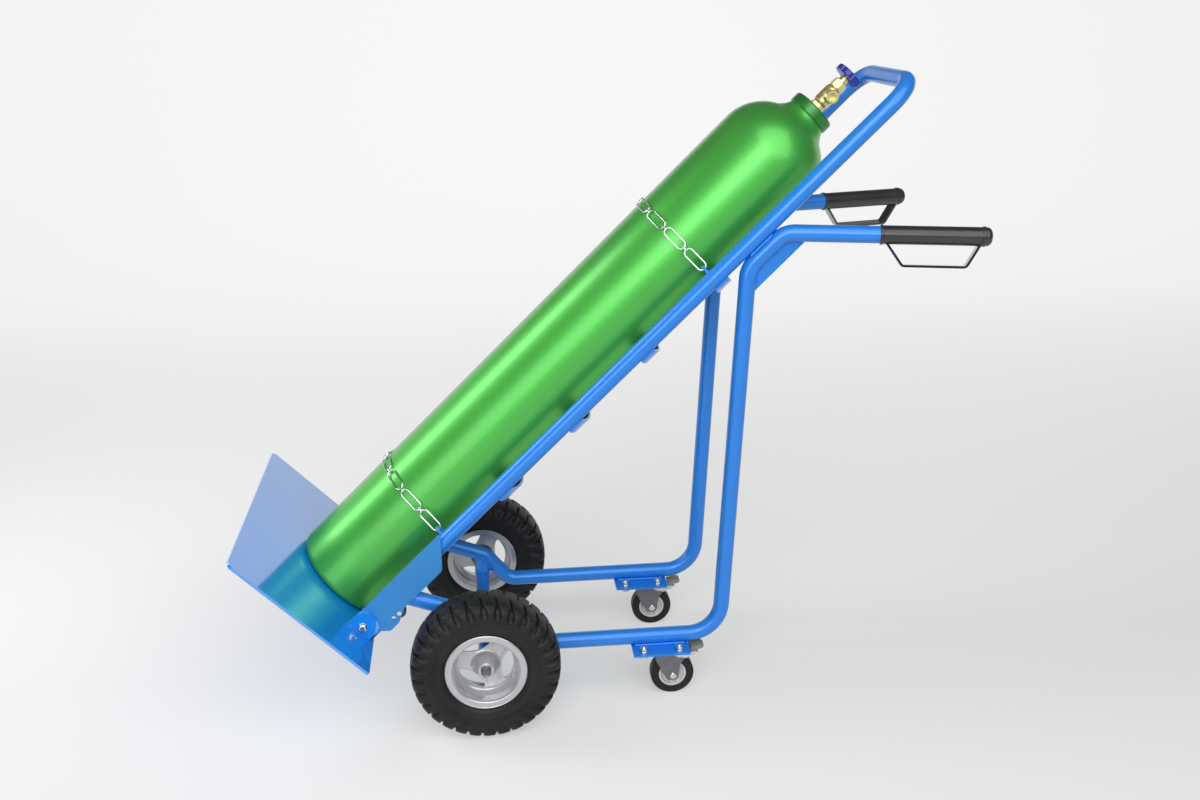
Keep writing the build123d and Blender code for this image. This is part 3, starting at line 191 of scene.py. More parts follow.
# ---- material kit ----------------------------------------------------------------------------------------
class Wires:
    """Short calls that add nodes to a tree and link them."""

    def __init__(self, tree):
        self.tree = tree

    def node(self, kind, inputs=(), **settings):
        """New node, with some inputs linked or set by name or number."""
        made = self.tree.nodes.new("ShaderNode" + kind)
        for key, value in settings.items():
            setattr(made, key, value)
        for key, value in dict(inputs).items():
            self.feed(made.inputs[key], value)
        return made

    def feed(self, socket, value):
        """Links a socket to an output, or sets it to a constant."""
        if isinstance(value, bpy.types.NodeSocket):
            self.tree.links.new(value, socket)
        else:
            socket.default_value = value

    def place(self):
        """Coordinates in metres, fixed to the piece."""
        return self.node("TexCoord").outputs["Object"]

    def noise(self, scale, detail, vector=None):
        inputs = {"Vector": vector or self.place(), "Scale": scale, "Detail": detail}
        return self.node("TexNoise", inputs).outputs["Fac"]

    def math(self, operation, first, second):
        return self.node("Math", {0: first, 1: second}, operation=operation).outputs[0]

    def spread(self, *numbers):
        """Maps a value from one range (low, high) to another (low, high), held at both ends."""
        return self.node("MapRange", enumerate(numbers)).outputs[0]

    def mix(self, factor, first, second):
        return self.node("Mix", {0: factor, 6: first, 7: second}, data_type="RGBA").outputs[2]

    def shade(self, colour_in, factor):
        """A colour made darker or lighter by a factor."""
        return self.node("VectorMath", {0: colour_in, "Scale": factor}, operation="SCALE").outputs[0]


def coat(wires, given):
    """Sprayed paint: faint colour drift, fine orange peel, and a little dust on faces that look up."""
    broad = wires.noise(7.0, 4.0)
    peel = wires.noise(given["Peel scale"], 2.0)
    drift = wires.math("MULTIPLY", wires.math("SUBTRACT", broad, 0.5), given["Drift"])
    tone = wires.math("ADD", wires.math("MULTIPLY", drift, 2.0), 1.0)
    painted = wires.shade(given["Colour"], tone)
    facing = wires.node("SeparateXYZ", {0: wires.node("NewGeometry").outputs["Normal"]})
    upward = wires.spread(facing.outputs["Z"], 0.55, 1.0, 0.0, 1.0)
    patches = wires.spread(wires.noise(38.0, 6.0), 0.42, 0.75, 0.0, 1.0)
    dust = wires.math("MULTIPLY", wires.math("MULTIPLY", upward, patches), given["Dust"])
    rough = wires.math("ADD", given["Roughness"], wires.math("MULTIPLY", dust, 0.6))
    rough = wires.math("ADD", rough, wires.math("MULTIPLY", drift, 0.9))
    return wires.mix(dust, painted, (0.45, 0.43, 0.40, 1)), rough, peel


def rubber(wires, given):
    """Moulded rubber: fine grain, pale bloom in patches and darker worn places."""
    grain = wires.noise(given["Grain scale"], 4.0)
    patch = wires.spread(wires.noise(22.0, 5.0), 0.4, 0.72, 0.0, 1.0)
    bloom = wires.math("MULTIPLY", patch, given["Bloom"])
    pale = wires.mix(bloom, given["Colour"], (0.085, 0.08, 0.075, 1))
    speck = wires.spread(grain, 0.3, 0.7, 0.85, 1.15)
    rough = wires.math("ADD", given["Roughness"], wires.math("MULTIPLY", bloom, 0.25))
    rough = wires.math("ADD", rough, wires.spread(grain, 0.2, 0.8, -0.06, 0.06))
    return wires.shade(pale, speck), rough, grain


def metal(wires, given):
    """Bare or plated metal: fine scratches, cloudy plating and slight stain."""
    cloud = wires.noise(60.0, 5.0)
    stretch = wires.node("Mapping", {"Vector": wires.place(), "Scale": (1.0, 9.0, 1.0)})
    grain = wires.noise(given["Grain scale"], 3.0, vector=stretch.outputs[0])
    shift = wires.math("MULTIPLY", wires.math("SUBTRACT", cloud, 0.5), given["Cloud"])
    tone = wires.math("ADD", wires.math("MULTIPLY", shift, 2.0), 1.0)
    rough = wires.math("ADD", given["Roughness"], wires.math("MULTIPLY", shift, 1.2))
    rough = wires.math("ADD", rough, wires.spread(grain, 0.2, 0.8, -0.05, 0.05))
    return wires.shade(given["Colour"], tone), rough, grain


EFFECTS = {
    coat: ("Sprayed coat", {"Drift": 0.08, "Peel scale": 250.0, "Roughness": 0.25, "Dust": 0.1}),
    rubber: ("Moulded rubber", {"Bloom": 0.3, "Grain scale": 900.0, "Roughness": 0.6}),
    metal: ("Bare metal", {"Cloud": 0.15, "Grain scale": 600.0, "Roughness": 0.3}),
}
GROUPS = {}


def effect_group(effect):
    """Node group of an effect: a colour and its own numbers in; a colour, roughness and height out."""
    if effect not in GROUPS:
        name, numbers = EFFECTS[effect]
        group = GROUPS[effect] = bpy.data.node_groups.new(name, "ShaderNodeTree")
        sockets = [("INPUT", "Colour", "Color"), *[("INPUT", label, "Float") for label in numbers],
                   ("OUTPUT", "Color", "Color"), ("OUTPUT", "Roughness", "Float"),
                   ("OUTPUT", "Height", "Float")]
        for way, label, kind in sockets:
            made = group.interface.new_socket(name=label, in_out=way, socket_type="NodeSocket" + kind)
            if way == "INPUT" and label in numbers:
                made.default_value = numbers[label]
        wires = Wires(group)
        given = group.nodes.new("NodeGroupInput").outputs
        for socket, value in zip(group.nodes.new("NodeGroupOutput").inputs, effect(wires, given)):
            wires.feed(socket, value)
    return GROUPS[effect]


def dress(nodes, name, effect, rgb, values, shader=None, bump=0.0, metallic=0.0):
    """Gives CAD nodes a new material that feeds one effect group into a Principled shader.

    values are the group's own numbers, shader the shader's constants, bump the relief in metres.
    """
    made = bpy.data.materials.new(name)
    made.use_nodes = True
    made.diffuse_color = (*rgb, 1)
    wires = Wires(made.node_tree)
    surface = made.node_tree.nodes["Principled BSDF"].inputs
    look = wires.node("Group", {"Colour": (*rgb, 1), **values}, node_tree=effect_group(effect)).outputs
    relief = wires.node("Bump", {"Strength": 1.0, "Distance": bump, "Height": look["Height"]})
    settings = {"Base Color": look["Color"], "Roughness": look["Roughness"], "Metallic": metallic,
                "Normal": relief.outputs["Normal"], **(shader or {})}
    for label, value in settings.items():
        wires.feed(surface[label], value)
    for node in nodes:
        for place in frame["nodes"][node].material_slots:
            place.material = made
    return made


def both(*names):
    return [f"{name}_{side}" for name in names for side, _ in SIDES]


# ---- mesh kit --------------------------------------------------------------------------------------------
def add_mesh(name, shape, made, smooth_angle=35.0):
    """Turns a bmesh into an object with a material, smooth by angle."""
    mesh = bpy.data.meshes.new(name)
    shape.to_mesh(mesh)
    shape.free()
    mesh.materials.append(made)
    mesh.polygons.foreach_set("use_smooth", [True] * len(mesh.polygons))
    mesh.set_sharp_from_angle(angle=math.radians(smooth_angle))
    piece = bpy.data.objects.new(name, mesh)
    bpy.context.scene.collection.objects.link(piece)
    return piece


def finish_mesh(name, shape, made, body, smooth_angle=35.0, replaces=()):
    """Turns a bmesh into a piece of the cart that rides on a body."""
    bmesh.ops.recalc_face_normals(shape, faces=shape.faces)
    piece = add_mesh(name, shape, made, smooth_angle)
    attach(piece, body)
    if replaces:
        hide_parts(*replaces)


def bridge_rings(shape, rings, closed):
    """Faces between neighbouring rings; closed joins the last to the first, else both ends are capped."""
    pairs = list(zip(rings, rings[1:]))
    if closed:
        pairs.append((rings[-1], rings[0]))
    else:
        shape.faces.new(list(reversed(rings[0])))
        shape.faces.new(rings[-1])
    for first, second in pairs:
        count = len(first)
        for index in range(count):
            after = (index + 1) % count
            shape.faces.new((first[index], first[after], second[after], second[index]))


def polar(radius, turn, height=0.0):
    """Point at a distance from the Z axis, turned about it and raised along it."""
    return Vector((radius * math.cos(turn), radius * math.sin(turn), height))


def lathe(shape, outline, place, steps):
    """Revolves a closed outline of (radius, height) points about the Z axis of a placing matrix."""
    turns = [math.tau * step / steps for step in range(steps)]
    rings = [[shape.verts.new(place @ polar(r, turn, h)) for r, h in outline] for turn in turns]
    bridge_rings(shape, rings, closed=True)
    bmesh.ops.remove_doubles(shape, verts=shape.verts, dist=1e-6)


def curve(points, steps):
    """Smooth route through points, with a number of steps from each to the next."""
    knots = [Vector(point) for point in points]
    route = []
    for index, (start, end) in enumerate(zip(knots, knots[1:])):
        before = knots[max(index - 1, 0)]
        after = knots[min(index + 2, len(knots) - 1)]
        handles = (start, start + (end - before) / 6, end - (after - start) / 6, end)
        route += interpolate_bezier(*handles, steps + 1)[:-1]
    return route + knots[-1:]


def reaches(points):
    """Distance of each point along the route from its start."""
    made = [0.0]
    for start, end in zip(points, points[1:]):
        made.append(made[-1] + (end - start).length)
    return made


def at_stops(points, stops):
    """Places at rising distances along a route."""
    reach = reaches(points)
    made = []
    span = 0
    for stop in stops:
        while span < len(points) - 2 and reach[span + 1] < stop:
            span += 1
        part = (stop - reach[span]) / max(reach[span + 1] - reach[span], 1e-9)
        made.append(points[span].lerp(points[span + 1], part))
    return made


def even_steps(points, step, closed):
    """The same route with a point at every step along it."""
    route = points + points[:1] if closed else points
    whole = reaches(route)[-1]
    count = max(2, round(whole / step))
    return at_stops(route, [whole * index / count for index in range(count if closed else count + 1)])


def held(value):
    """A share held between none and all."""
    return min(1.0, max(0.0, value))


def eased(value):
    """A held share that starts and ends gently."""
    share = held(value)
    return share * share * (3 - 2 * share)


def bead(shape, points, radius, ripple, closed=False):
    """Rippled weld bead along a route."""
    route = even_steps(points, ripple / 2, closed)
    last = len(route) - 1
    rings = []
    side = None
    for index, point in enumerate(route):
        before = route[index - 1] if index or closed else point
        after = route[(index + 1) % len(route)] if index < last or closed else point
        along = (after - before).normalized()
        side = side or along.orthogonal()
        side = (side - along * side.dot(along)).normalized()
        rise = along.cross(side)
        swell = radius * BEAD_SWELL[index % 2]
        if not closed:
            swell *= min(1.0, 0.5 + 0.25 * min(index, last - index))
        turns = [math.tau * step / BEAD_SIDES for step in range(BEAD_SIDES)]
        rings.append([shape.verts.new(point + (side * math.cos(turn) + rise * math.sin(turn)) * swell)
                      for turn in turns])
    bridge_rings(shape, rings, closed)


def skin(node):
    """Search tree over a CAD node's faces."""
    mesh = frame["nodes"][node].data
    corners = [vert.co for vert in mesh.vertices]
    return BVHTree.FromPolygons(corners, [face.vertices for face in mesh.polygons])


def seams(node, onto, keep=lambda point: True, gap=0.0003):
    """Routes along a node's sharp edges where they lie on another node, as (points, closed)."""
    shape = bmesh.new()
    shape.from_mesh(frame["nodes"][node].data)
    bmesh.ops.remove_doubles(shape, verts=shape.verts, dist=2e-6)
    tree = skin(onto)
    links = {}
    for edge in shape.edges:
        if len(edge.link_faces) != 2 or edge.calc_face_angle() < SHARP_ANGLE:
            continue
        ends = [vert.co for vert in edge.verts]
        if all(tree.find_nearest(end, gap)[0] for end in ends) and keep((ends[0] + ends[1]) / 2):
            for near, far in (edge.verts, reversed(edge.verts)):
                links.setdefault(near.index, []).append(far.index)
    shape.verts.ensure_lookup_table()
    routes = []
    while links:
        here = next((vert for vert, others in links.items() if len(others) == 1), next(iter(links)))
        route = [here]
        while links.get(here):
            after = links[here].pop(0)
            links[after].remove(here)
            route.append(after)
            here = after
        links = {vert: others for vert, others in links.items() if others}
        closed = len(route) > 2 and route[0] == route[-1]
        points = [shape.verts[index].co.copy() for index in (route[:-1] if closed else route)]
        if len(points) > 1:
            routes.append((points, closed))
    shape.free()
    return routes


def wheel_place(side):
    """A wheel's own frame: Z outward along the axle from the wheel's middle."""
    turn = Matrix(((1, 0, 0), (0, 0, side), (0, -side, 0))).to_4x4()
    return Matrix.Translation((AXLE.x, side * TRACK, WHEEL_R)) @ turn


# ---- operators -------------------------------------------------------------------------------------------
class TROLLEY_OT_paint(Operator):
    """Paint the frame, plates, cylinder, rims and handwheel"""
    bl_idname = "trolley.paint"
    bl_label = "Paint"

    def execute(self, context):
        paint = context.scene.trolley_paint
        ripple = 1.0 / paint.peel
        powder = {"Peel scale": ripple, "Roughness": 0.35, "Dust": 0.05}
        gloss = {"Coat Weight": 0.4, "Coat Roughness": 0.12}
        frame_nodes = ["main_hoop", "axle_tube", "chain_tabs", *STRAPS,
                       *both("side_frame", "axle_post", "corner_gusset", "caster_bracket")]
        dress(frame_nodes, "Frame powder coat", coat, paint.frame_blue, powder, gloss, 0.00005, 0.15)
        dress(both("side_plate"), "Side plate powder coat", coat, paint.plate_blue, powder, gloss, 0.00005)
        dress(["toe_plate"], "Toe plate powder coat", coat, paint.toe_blue,
              {"Peel scale": ripple * 0.5, "Roughness": 0.2, "Drift": 0.04, "Dust": 0.03},
              {"Coat Weight": 1.0, "Coat Roughness": 0.03, "Coat IOR": 2.2}, 0.000006)
        spray = {"Peel scale": ripple * 0.6, "Roughness": 0.42, "Drift": 0.05, "Dust": 0.0}
        lacquer = {"Coat Weight": 0.6, "Coat Roughness": 0.2}
        dress(["cylinder"], "Cylinder enamel", coat, paint.cylinder_green, spray, lacquer, 0.00002, 0.68)
        # The neck ring's enamel is the cylinder's green, painted darker here as shade.
        dress(["neck_ring"], "Neck ring enamel with painted shade", coat, paint.collar_green_with_painted_shade, spray, lacquer, 0.00002, 0.5)
        dress(both("rim", "rim_back"), "Rim silver", coat, paint.rim_silver,
              {"Peel scale": ripple * 1.4, "Roughness": 0.3, "Dust": 0.08},
              {"Coat Weight": 0.8, "Coat Roughness": 0.06}, 0.00003, 0.6)
        dress(["handwheel"], "Handwheel plastic", coat, paint.wheel_blue,
              {"Peel scale": ripple * 2, "Roughness": 0.32, "Dust": 0.03}, {"Coat Weight": 0.15}, 0.00003)
        dress(both("hand_guard"), "Guard enamel", coat, (0.010, 0.010, 0.012),
              {"Peel scale": ripple, "Roughness": 0.2, "Dust": 0.02},
              {"Coat Weight": 1.0, "Coat Roughness": 0.03}, 0.00002)
        return {"FINISHED"}


class TROLLEY_OT_metals(Operator):
    """Finish the bare and plated metal: chains, axles, casters, bolts and valve"""
    bl_idname = "trolley.metals"
    bl_label = "Bare metal"

    def execute(self, context):
        dress(CHAINS, "Bright chain", metal, (0.82, 0.82, 0.84), {"Roughness": 0.12, "Cloud": 0.1},
              bump=0.00002, metallic=1.0)
        bolts = ["toe_plate_bolts", "valve_spindle", "caster_bolts", "roller_pins"]
        dress([*bolts, *both("brake_pedal", "caster_axle")], "Bright plate", metal, (0.72, 0.72, 0.74),
              {"Roughness": 0.15, "Cloud": 0.12}, bump=0.00002, metallic=1.0)
        dress(["axle", *both("caster_plate", "hub_bearings")], "Zinc plate", metal, (0.46, 0.46, 0.49),
              {"Roughness": 0.32, "Cloud": 0.25}, bump=0.00003, metallic=0.9)
        dress(both("caster_fork"), "Fork steel", metal, (0.2, 0.2, 0.22),
              {"Roughness": 0.3, "Cloud": 0.25}, bump=0.00003, metallic=0.8)
        dress(["valve_body", "valve_bonnet"], "Valve brass", metal, (0.86, 0.74, 0.36),
              {"Roughness": 0.32, "Cloud": 0.1}, bump=0.00002, metallic=0.9)
        return {"FINISHED"}


class TROLLEY_OT_rubber(Operator):
    """Finish the grips, buffers, caster wheels and brake pads"""
    bl_idname = "trolley.rubber"
    bl_label = "Rubber and plastic"

    def execute(self, context):
        dress(["rubber_buffers", *both("grip", "inner_tube")], "Grip rubber", rubber, (0.013, 0.013, 0.015),
              {"Bloom": 0.15, "Grain scale": 1400.0, "Roughness": 0.4},
              {"Coat Weight": 0.7, "Coat Roughness": 0.12}, 0.00006)
        dress(both("caster_tread"), "Caster rubber", rubber, (0.008, 0.008, 0.009),
              {"Bloom": 0.15, "Roughness": 0.45}, {"Specular IOR Level": 0.35}, 0.00005)
        dress(both("caster_core"), "Caster core plastic", rubber, (0.8, 0.8, 0.78),
              {"Bloom": 0.1, "Roughness": 0.45}, bump=0.00003)
        dress(both("brake_pad"), "Brake pad plastic", rubber, (0.3, 0.31, 0.25),
              {"Bloom": 0.3, "Roughness": 0.45}, bump=0.00005)
        return {"FINISHED"}


class TROLLEY_OT_tyres(Operator):
    """Mould the air-filled tyres with their rounded tread blocks"""
    bl_idname = "trolley.tyres"
    bl_label = "Tyres"

    # Half section, in millimetres below the crown and out from the middle: an arc across the tread, a
    # smooth curve from its edge round the shoulder and sidewall, then the bead's seat and the inside.
    CROWN_R = 166
    CROWN_EDGE = 20.4
    SIDE = ((1.9, 25.3), (3.1, 29.7), (4.3, 31.8), (8.6, 37.2), (14, 39.9), (21.5, 41.65), (29, 42.05),
            (36.5, 41.4), (44, 38.9), (50.2, 35.7), (55.8, 32.2), (57.7, 29.95))
    INSIDE = ((69.9, 29.95), (69.9, 22), (57.2, 24), (40, 34), (24, 35), (18, 30), (13, 18), (12, 6))
    # Steps of the curve from each point to the next, and the distance between the mesh's rows.
    STEPS = 12
    ROW = 2.4
    # Lines moulded round the tyre: start and end along the half section, and depth; a rib's is negative.
    LINES = ((18.25, 20.45, 1.6), (30.2, 32.2, 0.7), (69.7, 72.8, -0.6), (83.0, 85.3, -0.4))
    LINE_EDGE = 0.5
    LINE_CLEAR = 0.6
    # Grooves start beside the crown's middle line and fade out on the shoulder, by drop below the crown.
    GROOVE_START, GROOVE_EDGE = 3.0, 0.9
    GROOVE_FADE, GROOVE_END = 17.0, 32.0
    # Half a block from its edge to its middle, as shares of its half width on the crown and at its foot,
    # then the gap's reach into the pitch and the block's squareness: flat on the crown, a lump below.
    ACROSS = ((1, 1), (0.945, 0.83), (0.894, 0.66), (0.783, 0.49), (0.37, 0.26), (0, 0))
    GAPS = (0.066, 0.15)
    SQUARENESS = (28, 2.6)
    FOOT_BELOW, FOOT_REACH = 1.0, 12.0
    # The blocks of the two sides are offset by half a pitch, which crosses over this width at the middle.
    CROSSING = 4.0
    # The sidewall's inset below the blocks, whose feet round down from this drop; then where it fades out.
    SIDEWALL_INSET = 1.1
    SCALLOP_FOOT = 23.0
    SCALLOP_RISE = 7.5
    SCALLOP_EDGE = 2.5
    INSET_END, INSET_FADE = 40.0, 12.0

    def execute(self, context):
        tyres = context.scene.trolley_tyres
        black = dress([], "Tyre rubber", rubber, tyres.black,
                      {"Bloom": 0.12, "Roughness": 0.5, "Grain scale": 700.0},
                      {"Specular IOR Level": 0.35}, 0.00006)
        for name, side in SIDES:
            shape = bmesh.new()
            self.mould(shape, tyres, wheel_place(side))
            finish_mesh(f"lugged_tyre_{name}", shape, black, f"wheel_{name}", 50,
                        replaces=[f"tyre_{name}"])
        return {"FINISHED"}

    def section(self):
        """Half section from the crown to the bead: its points, and a line's depth by distance along it."""
        edge = self.CROWN_EDGE
        crown = [(out * out / (2 * self.CROWN_R), out) for out in (-edge / 2, 0, edge / 2, edge)]
        route = curve([*crown, *self.SIDE], self.STEPS)[self.STEPS:]
        whole = reaches(route)[-1]
        count = round(whole / self.ROW)
        depths = {whole * index / count: 0 for index in range(count + 1)}
        for start, end, depth in self.LINES:
            clear = start - self.LINE_CLEAR, end + self.LINE_CLEAR
            depths = {stop: line for stop, line in depths.items() if not clear[0] < stop < clear[1]}
            depths.update({start: 0, start + self.LINE_EDGE: depth, end - self.LINE_EDGE: depth, end: 0})
        depths.update({self.GROOVE_START: 0, self.GROOVE_START + self.GROOVE_EDGE: 0})
        depths = dict(sorted(depths.items()))
        return at_stops(route, depths), depths

    def half(self, flip):
        """Rows of one half's section: place, way in, groove share, line depth and drop below the crown."""
        points, depths = self.section()
        rows = []
        for index, (stop, line) in enumerate(depths.items()):
            drop, out = points[index]
            along = points[min(index + 1, len(points) - 1)] - points[max(index - 1, 0)]
            groove = held((stop - self.GROOVE_START) / self.GROOVE_EDGE)
            groove *= 1 - eased((drop - self.GROOVE_FADE) / (self.GROOVE_END - self.GROOVE_FADE))
            way_in = Vector((-along.y, -along.x)).normalized()
            rows.append((Vector((WHEEL_R / MM - drop, out)), way_in, groove, line, drop))
        rows += [(Vector((WHEEL_R / MM - drop, out)), Vector((0, 0)), 0, 0, 0) for drop, out in self.INSIDE]
        if flip:
            mirror = Vector((1, -1))
            rows = [(place * mirror, way * mirror, *rest) for place, way, *rest in reversed(rows)]
            rows = rows[:-1]
        return rows

    def columns(self):
        """Columns across one block's pitch: place and height on the crown and at the block's foot."""
        halves = [(-crown, -foot) for crown, foot in self.ACROSS] + list(reversed(self.ACROSS[1:-1]))
        made = [[(-gap, 0) for gap in self.GAPS]]
        for shares in halves:
            made.append([(0.5 + share * (0.5 - gap), 1 - abs(share) ** square)
                         for share, gap, square in zip(shares, self.GAPS, self.SQUARENESS)])
        return made

    def mould(self, shape, tyres, place):
        rows = self.half(True) + self.half(False)
        skew = math.tan(tyres.skew)
        rings = []
        for block in range(tyres.blocks):
            for crown, foot in self.columns():
                ring = []
                for (radius, out), way_in, groove, line, drop in rows:
                    widen = held((drop - self.FOOT_BELOW) / self.FOOT_REACH)
                    across, height = Vector(crown).lerp(Vector(foot), widen)
                    sink = groove * (1 - height) * tyres.depth / MM + line
                    sink += self.SIDEWALL_INSET * self.scallop(drop, across)
                    pitches = block + across + 0.5 * held(0.5 - out / self.CROSSING)
                    turn = pitches * math.tau / tyres.blocks - abs(out) * skew / radius
                    spot = polar(radius + way_in.x * sink, turn, out + way_in.y * sink)
                    ring.append(shape.verts.new(place @ (spot * MM)))
                rings.append(ring)
        bridge_rings(shape, rings, closed=True)

    def scallop(self, drop, across):
        """Share of the sidewall's inset: none on a block's side, whose foot is rounded, all below it."""
        foot = self.SCALLOP_FOOT + self.SCALLOP_RISE * math.sin(math.pi * held(across))
        start = eased((drop - foot) / self.SCALLOP_EDGE)
        return start * (1 - held((drop - self.INSET_END) / self.INSET_FADE))


class TROLLEY_OT_rims(Operator):
    """Press the rims' smooth bowls and roll their lips"""
    bl_idname = "trolley.rims"
    bl_label = "Rim bowls"

    # Bowl from the disc's edge to the rolled lip: radius, and share of the way from disc to lip.
    BOWL = ((49.3, 0), (50.2, 0.045), (51.2, 0.075), (52.4, 0.1), (53.9, 0.16), (55.8, 0.27), (58.2, 0.43),
            (61, 0.62), (63.6, 0.78), (65.8, 0.89), (67.3, 0.95), (68.3, 1), (69.3, 1.015), (70.3, 1))
    LIP = ((70.9, -0.7), (71.0, -1.6), (70.4, -2.4), (69.0, -2.4))
    # The bowl's underside ends at this radius, beneath the lip.
    UNDERSIDE_END = 67.5
    THICK = 0.9

    def execute(self, context):
        silver = bpy.data.materials["Rim silver"]
        for name, side in SIDES:
            place = wheel_place(side)
            out = place.to_3x3() @ Vector((0, 0, 1))
            across = place.to_3x3() @ Vector((1, 0, 0))
            start = place.translation + across * self.BOWL[0][0] * MM + out * 0.1
            touch = skin(f"rim_{name}").ray_cast(start, -out)[0]
            disc = (touch - place.translation).dot(out) / MM
            lip = (high(f"rim_{name}").y if side > 0 else -low(f"rim_{name}").y) / MM - TRACK / MM - 0.1
            face = [(r, disc + share * (lip - disc)) for r, share in self.BOWL]
            outline = face + [(r, lip + fall) for r, fall in self.LIP]
            outline += [(r, h - self.THICK) for r, h in reversed(face) if r < self.UNDERSIDE_END]
            bowl = bmesh.new()
            lathe(bowl, [(r * MM, h * MM) for r, h in outline], place, 96)
            finish_mesh(f"rim_bowl_{name}", bowl, silver, f"wheel_{name}", 40)
        return {"FINISHED"}


class TROLLEY_OT_chains(Operator):
    """Hang the long-link chains over the cylinder, hooked to their tabs"""
    bl_idname = "trolley.chains"
    bl_label = "Chains"

    # From a tab's tip to its hole, and how far short of the hole's centre a chain's end link stops.
    TAB_R = 8 * MM
    SEAT = 2.8 * MM
    # In wires: width of a short link, and height of a flat link's middle above the cylinder.
    SHORT_WIDTH = 3.1
    RISE = 0.6
    BENDS = 10
    SIDES = 10

    def execute(self, context):
        links = context.scene.trolley_chains
        bright = bpy.data.materials["Bright chain"]
        for name in CHAINS:
            shape = bmesh.new()
            self.hang(shape, links, slope_place((low(name) + high(name)) / 2)[0])
            finish_mesh(f"{name}_links", shape, bright, FRAME_BODY, 60, replaces=[name])
        return {"FINISHED"}

    def tab_hole(self, u):
        """Centre of the right tab's hole beside a chain, seen along the slope as (y, v)."""
        root = Vector((RAIL_Y, RAIL_V))
        tabs = [vert.co for vert in frame["nodes"]["chain_tabs"].data.vertices]
        spots = [Vector((co.y, slope_place(co)[1])) for co in tabs
                 if co.y > 0 and abs(slope_place(co)[0] - u) < 0.01]
        tip = max(spots, key=lambda spot: (spot - root).length)
        return tip - (tip - root).normalized() * self.TAB_R

    def hang(self, shape, links, u):
        """Long links that lie flat, joined by short ones on edge, from tab to tab over the cylinder."""
        axis = Vector((0, slope_place(CYLINDER_POINT)[1]))
        hole = self.tab_hole(u) - axis
        around = math.hypot(CYLINDER_R + links.wire * self.RISE, links.inside / 2)
        start = math.atan2(hole.y, hole.x) + math.acos(around / hole.length)
        touch = Vector((math.cos(start), math.sin(start))) * around
        straight = (touch - hole).length - self.SEAT
        whole = 2 * (straight + around * (math.pi / 2 - start))
        pairs = round((whole - links.inside) / (links.inside + links.joining))
        stretch = whole / ((pairs + 1) * links.inside + pairs * links.joining)
        along, before = 0.0, self.on_route(0.0, whole, straight, around, start, touch)
        for index in range(2 * pairs + 1):
            flat = index % 2 == 0
            along += (links.inside if flat else links.joining) * stretch
            after = self.on_route(along, whole, straight, around, start, touch)
            width = links.width if flat else links.wire * self.SHORT_WIDTH
            self.link(shape, bed(u, *reversed(before + axis)), bed(u, *reversed(after + axis)),
                      links.wire / 2, width, flat)
            before = after

    def on_route(self, along, whole, straight, around, start, touch):
        """Place at a distance from the right tab's hole, as (y, v) from the cylinder's axis."""
        near = min(along, whole - along)
        if near < straight:
            spot = touch + Vector((touch.y, -touch.x)).normalized() * (straight - near)
        else:
            turn = start + (near - straight) / around
            spot = Vector((math.cos(turn), math.sin(turn))) * around
        return Vector((-spot.x, spot.y)) if along > whole / 2 else spot

    def link(self, shape, first, second, wire, width, flat):
        """One link whose inside ends lie at two points."""
        middle = (first + second) / 2
        along = (second - first).normalized()
        across = UP_SLOPE if flat else along.cross(UP_SLOPE)
        normal = along.cross(across)
        bend = width / 2 - wire
        reach = (second - first).length / 2 + wire - bend
        rings = []
        for end in (1, -1):
            for step in range(self.BENDS + 1):
                turn = math.pi * (step / self.BENDS - 0.5)
                out = (along * math.cos(turn) + across * math.sin(turn)) * end
                centre = middle + along * reach * end + out * bend
                rounds = [math.tau * side / self.SIDES for side in range(self.SIDES)]
                rings.append([shape.verts.new(centre + (out * math.cos(a) + normal * math.sin(a)) * wire)
                              for a in rounds])
        bridge_rings(shape, rings, closed=True)


class TROLLEY_OT_hubs(Operator):
    """Fit the washers and push-on caps that hold the wheels on the axle"""
    bl_idname = "trolley.hubs"
    bl_label = "Hub caps"

    BORE = 8.05
    WASHER = ((BORE, 0), (11.2, 0), (11.5, 0.3), (11.5, 1.2), (11.2, 1.5), (BORE, 1.5))
    CAP = ((9.5, 0.05), (9.5, 2.9), (9.2, 3.9), (8.5, 4.7), (7.9, 5), (7.3, 5), (6.8, 4.6), (6.4, 4.3),
           (3.2, 4.45), (1.3, 4.5), (1, 4.2), (0, 4.15), (0, 3.1), (BORE, 3.1), (BORE, 0.05))

    def execute(self, context):
        bright = dress([], "Washer zinc", metal, (0.75, 0.75, 0.77), {"Roughness": 0.16},
                       bump=0.00002, metallic=1.0)
        dark = dress([], "Cap steel", metal, (0.17, 0.17, 0.18), {"Roughness": 0.24, "Cloud": 0.2},
                     bump=0.00002, metallic=0.9)
        washers = bmesh.new()
        caps = bmesh.new()
        thick, tall = (max(h for _, h in outline) * MM for outline in (self.WASHER, self.CAP))
        start = high("axle_end_fittings").y - tall
        for _, side in SIDES:
            self.turn(washers, self.WASHER, side, high("axle_tube").y)
            self.turn(washers, self.WASHER, side, start - thick)
            self.turn(caps, self.CAP, side, start)
        for name, shape, made in (("axle_washers", washers, bright), ("axle_caps", caps, dark)):
            finish_mesh(name, shape, made, FRAME_BODY, replaces=["axle_end_fittings"])
        return {"FINISHED"}

    def turn(self, shape, outline, side, start):
        place = wheel_place(side) @ Matrix.Translation((0, 0, start - TRACK))
        lathe(shape, [(r * MM, h * MM) for r, h in outline], place, 64)


